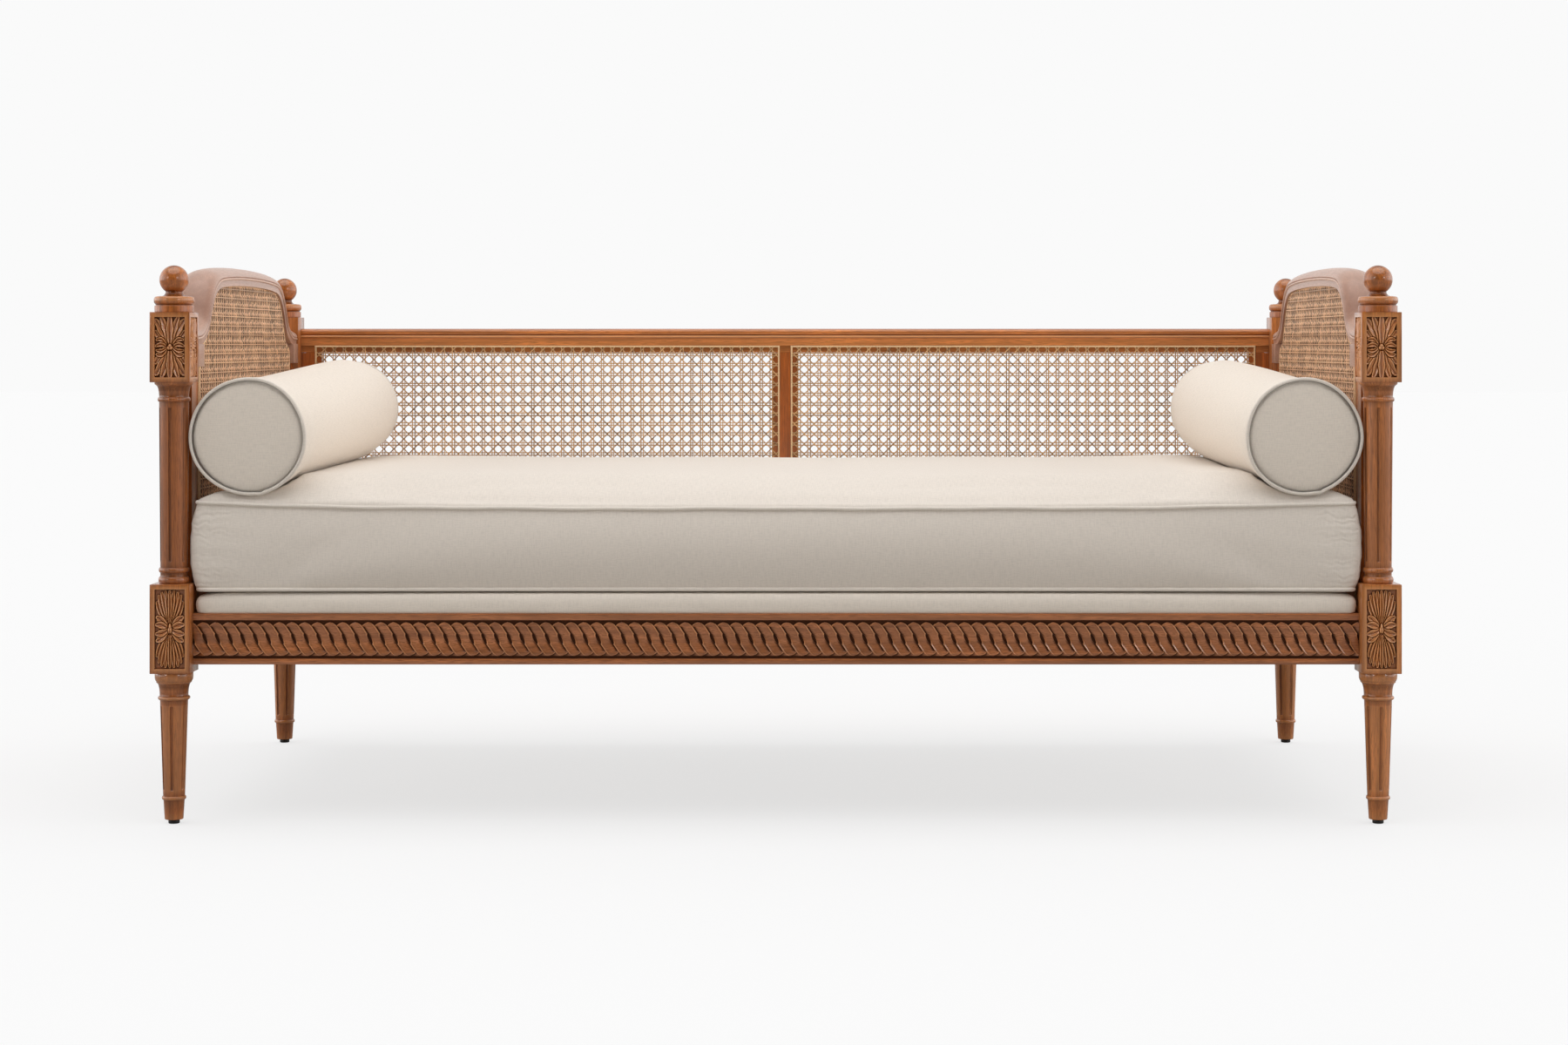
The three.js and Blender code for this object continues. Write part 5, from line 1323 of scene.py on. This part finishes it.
def is_sewn(points):
    """Points of the cushion that its seams hold: the whole bottom and the line of the top welt."""
    at_top = np.abs(points[:, 2] - CUSHION_SEAM - cushion_lift(points[:, 0])) < 8
    return (points[:, 2] < CUSHION_BOTTOM + 5) | at_top & (np.minimum(*from_edges(points)) < 16)


def cushion_rings(outline):
    """Rings of the cushion from the middle of its bottom to the middle of its top."""
    rings = [at_height(outline * share, CUSHION_BOTTOM, 0) for share in (0.3, 0.8, 0.97)]
    rings += [at_height(moved_in(outline, inset), CUSHION_BOTTOM + up, 0)
              for inset, up in ((13, 0), (7.5, 2), (4.6, 7))]
    rings += [at_height(moved_in(outline, 4.4 - 3.4 * math.sin(math.pi * t)),
                        CUSHION_BOTTOM + 8 + (CUSHION_SIDE - 14) * t, t) for t in np.linspace(0, 1, 12)]
    rings += [at_height(moved_in(outline, inset), CUSHION_SEAM + up) for inset, up in ((4.8, -2), (6.4, 3))]
    for share in (0.984, 0.972, 0.955, 0.93, 0.9, 0.86, 0.8, 0.7, 0.55, 0.35, 0.12):
        rise = (CUSHION_CROWN - 4) * (1 - share ** 12) + 4
        rings.append(at_height(outline * share, CUSHION_SEAM + rise))
    return rings


def swell_ends(points, share):
    """Lets the ends swell between the posts' columns, but not between their lower blocks; share is how high
    up the side each point lies."""
    at_front = np.clip((-400 - points[:, 1]) / 40, 0, 1)
    swell = 5 * at_front + 6 * np.sin(math.pi * share) ** 0.7
    points[:, 0] += np.sign(points[:, 0]) * swell * np.clip((np.abs(points[:, 0]) - 880) / 60, 0, 1)
    clear = np.clip((points[:, 2] - LOWER_BLOCK[1] - 1) / 6, 0, 1)
    widest = CUSHION_HALF_X + 2 + clear * (4 + 3 * at_front)
    points[:, 0] = np.clip(points[:, 0], -widest, widest)
    points[:, 1] = np.clip(points[:, 1], CUSHION_Y[0] - 6, CUSHION_Y[1] + 2)
    points[:, 2] = np.maximum(points[:, 2], CUSHION_BOTTOM)
    return points


def sew_cushion():
    """Sews the seat cushion: boxed sides, crowned top, welts at both seams."""
    outline = padded_outline(CUSHION_HALF_X, CUSHION_HALF_Y, CUSHION_CORNER, CUSHION_DRAW_IN)
    skins = Skins()
    skins.add_loft(cushion_rings(outline))
    linen = woven_linen("plain_woven_linen")
    cushion = make_piece("linen_seat_cushion", skins, linen, "cushion", ["seat_cushion"], 60)
    simulate_padding(cushion, 11.0, 3.0, 7.0, is_sewn)
    points = press_beds(gather_seams(points_of(cushion.data)), BOLSTER_RADIUS + 2.4)
    share = np.clip((points[:, 2] - CUSHION_BOTTOM) / CUSHION_SIDE, 0, 1)
    points = swell_ends(points, share)
    set_points(cushion.data, points)
    map_threads(cushion.data, box_threads)
    gathers = np.clip(1 - np.hypot(*from_edges(points)) / 80, 0, 1) * np.abs(2 * share - 1) ** 0.7
    gathers *= points[:, 2] < CUSHION_SEAM + 4
    cushion.data.attributes.new("gathers", "FLOAT", "POINT").data.foreach_set("value", gathers)
    sew_cushion_welts(cushion)


def sew_cushion_welts(cushion):
    """Sews the welts into the cushion's top and bottom seams."""
    welt = sizes().welt_diameter / MM / 2
    dense = padded_outline(CUSHION_HALF_X, CUSHION_HALF_Y, CUSHION_CORNER, CUSHION_DRAW_IN, 9.0)
    skins = Skins()
    for height, inset, lifted in ((CUSHION_SEAM, 2.0, 1.0), (CUSHION_BOTTOM + 5.2, 4.5, 0.0)):
        path = at_height(moved_in(dense, inset), height, lifted)
        path[:, 2] += 0.9 * np.sin(path[:, 0] / 83) * np.sin(path[:, 0] / 37 + 1) * lifted
        # Outward at the sides and the ends, and turning quickly at the corners
        outward = path - np.array([0, CUSHION_MID_Y, 0])
        outward *= np.abs(outward) ** 3 / [CUSHION_HALF_X ** 4, CUSHION_HALF_Y ** 4, np.inf]
        outward /= np.linalg.norm(outward, axis=1)[:, None]
        places = nearest_on(cushion, path)
        places[:, 2] = np.maximum(path[:, 2], CUSHION_BOTTOM + welt)
        places += outward * 0.35 * welt
        add_welt(skins, smoothed(places), outward, welt, 0.03)
    linen = woven_linen("linen_welt", seam_shaded=True)
    piping = make_piece("seat_cushion_welts", skins, linen, "cushion", sharp_degrees=80)
    map_threads(piping.data, box_threads)


def gather_seams(points):
    """Small folds that run away from the seams and gather at the corners."""
    x, y, z = points[:, 0], points[:, 1] - CUSHION_MID_Y, points[:, 2]
    from_end, from_side = from_edges(points)
    on_side = np.clip(1 - np.minimum(from_end, from_side) / 14, 0, 1)
    on_side *= (z > CUSHION_BOTTOM + 4) & (z < CUSHION_SEAM + 12)
    corner = np.exp(-np.hypot(from_end, from_side) / 70)
    near_top = np.exp(-np.abs(z - CUSHION_SEAM + 10) / 22)
    near_foot = np.exp(-np.abs(z - CUSHION_BOTTOM - 14) / 20)
    fold = np.sin(x / 7.3 + 1.3 * np.sin(x / 31)) * np.sin(x / 61 + 2)
    level_fold = np.sin(z / 5.6 + x / 40) * corner
    push = on_side * ((near_top + near_foot) * (0.35 + 1.3 * corner) * fold + 1.5 * level_fold)
    on_end = from_end < from_side
    out = np.stack([np.sign(x) * on_end, np.sign(y) * ~on_end, np.zeros(len(x))], axis=1)
    points = points + out * push[:, None]
    top = np.clip((z - CUSHION_SEAM - 14) / 20, 0, 1)
    points[:, 2] += top * (1.6 * np.sin(x / 210 + 0.6) * np.sin(y / 150 + 1) + 0.7 * np.sin(x / 71 + y / 93))
    return points


# A bolster's front end as (radius, distance along the tube): its disc, and its barrel behind the seam
BOLSTER_DISC = [
    (0.6, -3.4), (18, -3.3), (36, -3.0), (52, -2.4), (67, -1.4), (78.5, -0.1), (86, 1.0), (90.4, 2.4)]
BOLSTER_BARREL = [(92.5, 4.0), (93.7, 7.0), (94.4, 14.0), (94.6, 30.0), (94.2, 60.0)]
BACK_END_SHARE = 0.953


def bolster_rings(length):
    """Rings of a bolster, which is slack behind its front seam, full towards the back and drawn in at the
    back seam."""
    front = BOLSTER_DISC + BOLSTER_BARREL
    slack = [(BOLSTER_RADIUS - 1.4 + 2.9 * math.sin(2.6 * (t - 0.42)), 60 + (length - 120) * t)
             for t in np.linspace(0, 1, 22)[1:-1]]
    back = [(radius * BACK_END_SHARE, length - z) for radius, z in front[::-1]]
    turns = np.arange(72) * 2 * math.pi / 72
    return [np.column_stack([radius * np.cos(turns), radius * np.sin(turns), np.full(len(turns), z)])
            for radius, z in front + slack + back]


def tube_threads(start, spin):
    """Threads of a bolster that lies at start, turned by spin: they run round and along the tube, and
    straight across its discs."""
    def place_of(co, normal):
        home = (co / MM - start) @ spin
        facing = normal @ spin
        is_disc = np.abs(facing[:, 2]) > 0.75
        middle_turn = np.arctan2(facing[:, 1], facing[:, 0])
        turn = np.arctan2(home[:, 1], home[:, 0])
        turn += 2 * math.pi * np.round((middle_turn - turn) / (2 * math.pi))
        along = np.where(is_disc, home[:, 0], home[:, 2])
        round_it = np.where(is_disc, home[:, 1], turn * BOLSTER_RADIUS)
        return np.stack([round_it, along], axis=1) * MM
    return place_of


def bolster_welt_path(side, z, is_back, welt):
    """The path of one welt and the directions out of it, before the bolster is laid in its place."""
    turns = np.arange(120) * 2 * math.pi / 120
    radial = np.column_stack([np.cos(turns), np.sin(turns), np.zeros(len(turns))])
    # The cord's ends are joined in a small lump, and it wavers a little
    join = np.exp(-((turns - 0.42 * math.pi) / 0.05) ** 2)
    waver = 0.6 * np.sin(3 * turns + side) + 0.4 * np.sin(5 * turns + 1)
    reach = BOLSTER_RADIUS - welt * 0.5 - 7.3 * is_back + waver + 1.8 * join
    path = radial * reach[:, None] + np.array([0, 0, z])
    return path, radial * 0.8 + np.array([0, 0, 0.6 if is_back else -0.6])


def roll_bolsters():
    """Sews the two bolsters: a tube of linen, two discs and a welt round each disc."""
    welt = sizes().welt_diameter / MM / 2
    for side, word in SIDE_WORDS:
        start, direction, length = bolster_axis(side)
        spin = np.array(Vector((0, 0, 1)).rotation_difference(Vector(direction)).to_matrix())
        threads = tube_threads(start, spin)
        body = f"bolster_{word}"
        skins = Skins()
        skins.add_loft(bolster_rings(length))
        linen = woven_linen("bolster_linen", LIT_LINEN)
        bolster = make_piece(f"{word}_linen_bolster", skins, linen, body, [f"{word}_bolster"], 60)

        def is_sewn_end(points, length=length):
            near_end = (points[:, 2] < 9) | (points[:, 2] > length - 9)
            return (np.hypot(points[:, 0], points[:, 1]) > 86) & near_end

        simulate_padding(bolster, 7.0, 2.5, 2.2, is_sewn_end)
        points = crease_bolster(points_of(bolster.data), length, side)
        set_points(bolster.data, points @ spin.T + start)
        map_threads(bolster.data, threads)
        skins = Skins()
        for z, is_back in ((0.6, False), (length + 0.2, True)):
            path, normals = bolster_welt_path(side, z, is_back, welt)
            add_welt(skins, path @ spin.T + start, normals @ spin.T, welt, 0.03)
        linen = woven_linen("linen_welt", seam_shaded=True)
        piping = make_piece(f"{word}_bolster_welts", skins, linen, body, sharp_degrees=80)
        map_threads(piping.data, threads)


def crease_bolster(points, length, side):
    """Faint folds that run in from the welts along the tube, and a soft dip across its middle."""
    x, y, z = points.T
    radius = np.hypot(x, y)
    turn = np.arctan2(y, x)
    on_tube = np.clip((radius - 85) / 6, 0, 1)
    near_end = np.exp(-np.minimum(z, length - z) / 26)
    fold = np.sin(23 * turn + 2 * np.sin(5 * turn)) * np.sin(7 * turn + side)
    swell = 0.5 * np.sin(z / 120 + side) * np.sin(2 * turn + 1)
    scale = 1 + on_tube * (0.55 * near_end * fold + swell) / np.maximum(radius, 1)
    return np.column_stack([x * scale, y * scale, z])


# The deck pad's rings as (inset, share of its height), from the middle of its foot to the middle of its top.
# Under its middle the pad is hollow, and the board lies there
DECK_RINGS = (
    (200.0, 0.37), (5.7, 0.37), (5.7, 0.0), (3.6, 0.0), (2.4, 0.02), (0.9, 0.08), (0.1, 0.2), (-0.8, 0.45),
    (-0.4, 0.65), (1.2, 0.82), (4.2, 0.94), (9.0, 0.99), (20.0, 1.0), (200.0, 1.0))


def upholster_deck():
    """Covers the deck: a thin pad in linen, drawn over the board with rounded ends."""
    (x0, x1), (y0, y1), (z0, z1) = DECK
    half_x, half_y, mid_y = (x1 - x0) / 2, (y1 - y0) / 2, (y0 + y1) / 2
    outline = padded_outline(half_x, half_y, 10.0, 0.0, 12.0)
    rings = []
    for inset, share in DECK_RINGS:
        flat = outline * [1 - inset / half_x, 1 - inset / half_y] + [0, mid_y]
        rings.append(np.column_stack([flat, np.full(len(flat), z0 + share * (z1 - z0))]))
    rings = np.array(rings)
    x = rings[:, :, 0]
    # The cloth is a little slack along the front and the back, and the pad swells at its ends
    slack = 0.35 * np.sin(x[6:10] / 23 + np.sin(x[6:10] / 71))
    rings[6:10, :, 1] += slack * np.sign(rings[6:10, :, 1] - mid_y)
    rings[4:12, :, 0] += np.sign(x[4:12]) * 5.5 * np.clip((np.abs(x[4:12]) - 900) / 30, 0, 1)
    end = np.clip((np.abs(x) - (half_x - 60)) / 60, 0, 1) ** 2
    rings[:, :, 2] -= (rings[:, :, 2] - z0) * 0.12 * end
    skins = Skins()
    skins.add_loft(rings)
    deck = make_piece("linen_deck_pad", skins, woven_linen("bolster_linen", LIT_LINEN),
                      replaces=["deck_pad"], sharp_degrees=60)
    map_threads(deck.data, box_threads)


# Stage

CAMERA_PLACE, CAMERA_LENS, CAMERA_SHIFT = (0.0882, -5.0785, 0.7835), 64.86, (-0.0294, -0.1144)
WHITE = linear("#fafafa")
FLOOR_REACH = 40.0
# Direction of the small soft box at the right; the left one is its mirror image
FRONT_BOX = (0.62, -0.74, 0.26)


def colour_by_ray(tree, lit, seen):
    """The lit colour for what lights the object or shows in its gloss, and the seen one for the camera and
    glass."""
    path = add_node(tree, "ShaderNodeLightPath")
    direct = add_node(tree, MATH, {0: path.outputs["Is Camera Ray"], 1: path.outputs["Is Transmission Ray"]},
                      operation="MAXIMUM")
    return add_node(tree, MIX, {"Factor": direct, "A": lit}, data_type="RGBA", inputs={"B": (*seen, 1)})


def studio_dome(tree, fill, side_boxes, backdrop, front_boxes):
    """Light of the studio by direction: a weak fill, soft boxes at both sides, two small ones in front at the
    left and right, and a pale backdrop behind."""
    towards = add_node(tree, "ShaderNodeSeparateXYZ", {"Vector": add_node(tree, PLACE).outputs["Generated"]})
    sideways = add_node(tree, MATH, {0: towards.outputs["X"]}, operation="ABSOLUTE")
    boxes = add_node(tree, MATH, {0: sideways}, operation="POWER", inputs={1: 4.0})
    behind = add_node(tree, MATH, {0: towards.outputs["Y"]}, operation="MAXIMUM", inputs={1: 0.0})
    folded = add_node(tree, "ShaderNodeCombineXYZ",
                      {"X": sideways, "Y": towards.outputs["Y"], "Z": towards.outputs["Z"]})
    facing = add_node(tree, "ShaderNodeVectorMath", {0: folded}, operation="DOT_PRODUCT",
                      inputs={1: FRONT_BOX})
    facing = add_node(tree, MATH, {0: facing}, operation="MAXIMUM", inputs={1: 0.0})
    spots = add_node(tree, MATH, {0: facing}, operation="POWER", inputs={1: 350.0})
    level = add_node(tree, MATH, {0: boxes}, operation="MULTIPLY_ADD", inputs={1: side_boxes, 2: fill})
    for light, strength in ((behind, backdrop), (spots, front_boxes)):
        level = add_node(tree, MATH, {0: light, 2: level}, operation="MULTIPLY_ADD", inputs={1: strength})
    return add_node(tree, "ShaderNodeCombineColor", {name: level for name in ("Red", "Green", "Blue")})


@made_once
def white_paper(tree):
    """Matt white paper. The camera sees it nearly as bright as the backdrop, with the object's soft shadow,
    and the object is lit by a darker, warmer bounce."""
    bounce = add_node(tree, "ShaderNodeRGB")
    bounce.outputs[0].default_value = (*linear("#aaa7a2"), 1)
    paper = colour_by_ray(tree, bounce, linear("#ebebeb"))
    diffuse = add_node(tree, "ShaderNodeBsdfDiffuse", {"Color": paper})
    glow = add_node(tree, "ShaderNodeEmission", inputs={"Color": (*WHITE, 1), "Strength": 1.0})
    path = add_node(tree, "ShaderNodeLightPath")
    veil = add_node(tree, MATH, {0: path.outputs["Is Camera Ray"]}, operation="MULTIPLY", inputs={1: 0.72})
    return add_node(tree, "ShaderNodeMixShader", {0: veil, 1: diffuse, 2: glow})


def set_stage():
    """Lays the pale floor and sets the soft studio light and the camera."""
    scene = bpy.context.scene
    scene.view_settings.view_transform = "Standard"
    scene.world = bpy.data.worlds.new("studio")
    scene.world.use_nodes = True
    tree = scene.world.node_tree
    tree.nodes.clear()
    dome = studio_dome(tree, fill=0.02, side_boxes=2.6, backdrop=0.85, front_boxes=11.0)
    sky = add_node(tree, "ShaderNodeBackground", {"Color": colour_by_ray(tree, dome, WHITE)})
    add_node(tree, "ShaderNodeOutputWorld", {"Surface": sky})
    mesh = bpy.data.meshes.new("floor")
    corners = [(x * FLOOR_REACH, y * FLOOR_REACH, 0) for x, y in ((-1, -1), (1, -1), (1, 1), (-1, 1))]
    mesh.from_pydata(corners, [], [(0, 1, 2, 3)])
    mesh.materials.append(white_paper("matt_white_floor"))
    sun = bpy.data.lights.new("soft_overhead", "SUN")
    sun.energy = 2.0
    sun.angle = math.radians(70)
    lens = bpy.data.cameras.new("camera")
    lens.sensor_width = 36.0
    lens.lens = CAMERA_LENS
    lens.shift_x, lens.shift_y = CAMERA_SHIFT
    lens.clip_end = 200
    floor, lamp, camera = (bpy.data.objects.new(data.name, data) for data in (mesh, sun, lens))
    for thing in (floor, lamp, camera):
        scene.collection.objects.link(thing)
    lamp.rotation_euler = (math.radians(9), 0, 0)
    camera.location = CAMERA_PLACE
    camera.rotation_euler = (math.pi / 2, 0, 0)
    scene.camera = camera


# Operators and panel

class DAYBED_OT_set_stage(bpy.types.Operator):
    """Lay the floor and set the light and the camera"""
    bl_idname = "daybed.set_stage"
    bl_label = "Set the stage"

    def execute(self, context):
        set_stage()
        return {"FINISHED"}


class DAYBED_OT_sew_cushion(bpy.types.Operator):
    """Sew the seat cushion with its welts"""
    bl_idname = "daybed.sew_cushion"
    bl_label = "Sew the seat cushion"

    def execute(self, context):
        sew_cushion()
        return {"FINISHED"}


class DAYBED_OT_roll_bolsters(bpy.types.Operator):
    """Sew the two bolsters with their welts"""
    bl_idname = "daybed.roll_bolsters"
    bl_label = "Sew the bolsters"

    def execute(self, context):
        roll_bolsters()
        return {"FINISHED"}


class DAYBED_OT_upholster_deck(bpy.types.Operator):
    """Cover the deck under the cushion"""
    bl_idname = "daybed.upholster_deck"
    bl_label = "Upholster the deck"

    def execute(self, context):
        upholster_deck()
        return {"FINISHED"}


class DAYBED_OT_turn_posts(bpy.types.Operator):
    """Turn and carve the four posts"""
    bl_idname = "daybed.turn_posts"
    bl_label = "Turn the posts"

    def execute(self, context):
        turn_posts()
        return {"FINISHED"}


class DAYBED_OT_turn_finials(bpy.types.Operator):
    """Turn the four ball finials and mould the glides"""
    bl_idname = "daybed.turn_finials"
    bl_label = "Turn the finials and glides"

    def execute(self, context):
        turn_finials()
        press_glides()
        return {"FINISHED"}


class DAYBED_OT_carve_seat_rails(bpy.types.Operator):
    """Carve the rope band into the seat rails"""
    bl_idname = "daybed.carve_seat_rails"
    bl_label = "Carve the seat rails"

    def execute(self, context):
        carve_seat_rails()
        return {"FINISHED"}


class DAYBED_OT_shape_frames(bpy.types.Operator):
    """Mould the top rail, bend the crests and finish the plain members"""
    bl_idname = "daybed.shape_frames"
    bl_label = "Shape the back and end frames"

    def execute(self, context):
        mould_top_rail()
        shape_crests()
        finish_frame()
        return {"FINISHED"}


class DAYBED_OT_weave_cane(bpy.types.Operator):
    """Weave the cane of the back and the ends"""
    bl_idname = "daybed.weave_cane"
    bl_label = "Weave the cane"

    def execute(self, context):
        weave_back()
        weave_ends()
        return {"FINISHED"}


OPERATORS = (
    DAYBED_OT_set_stage, DAYBED_OT_sew_cushion, DAYBED_OT_roll_bolsters, DAYBED_OT_upholster_deck,
    DAYBED_OT_turn_posts, DAYBED_OT_turn_finials, DAYBED_OT_carve_seat_rails, DAYBED_OT_shape_frames,
    DAYBED_OT_weave_cane,
)


class DAYBED_PT_panel(bpy.types.Panel):
    """Lists the steps that build the daybed, with its sizes and colours"""
    bl_label = "Cane daybed"
    bl_idname = "DAYBED_PT_panel"
    bl_space_type = "VIEW_3D"
    bl_region_type = "UI"
    bl_category = "Daybed"

    def draw(self, context):
        for operator in OPERATORS:
            self.layout.operator(operator.bl_idname)
        for group in (context.scene.daybed_sizes, context.scene.daybed_colours):
            box = self.layout.box()
            for name in group.bl_rna.properties.keys():
                if name not in ("rna_type", "name"):
                    box.prop(group, name)


CLASSES = (DaybedSizes, DaybedColours, *OPERATORS, DAYBED_PT_panel)


def register():
    for cls in CLASSES:
        bpy.utils.register_class(cls)
    bpy.types.Scene.daybed_sizes = bpy.props.PointerProperty(type=DaybedSizes)
    bpy.types.Scene.daybed_colours = bpy.props.PointerProperty(type=DaybedColours)


def unregister():
    del bpy.types.Scene.daybed_colours
    del bpy.types.Scene.daybed_sizes
    for cls in reversed(CLASSES):
        bpy.utils.unregister_class(cls)


def main():
    """Builds the whole daybed."""
    register()
    bpy.ops.daybed.set_stage()
    bpy.ops.daybed.sew_cushion()
    bpy.ops.daybed.roll_bolsters()
    bpy.ops.daybed.upholster_deck()
    bpy.ops.daybed.turn_posts()
    bpy.ops.daybed.turn_finials()
    bpy.ops.daybed.carve_seat_rails()
    bpy.ops.daybed.shape_frames()
    bpy.ops.daybed.weave_cane()


if __name__ == "__main__":
    main()
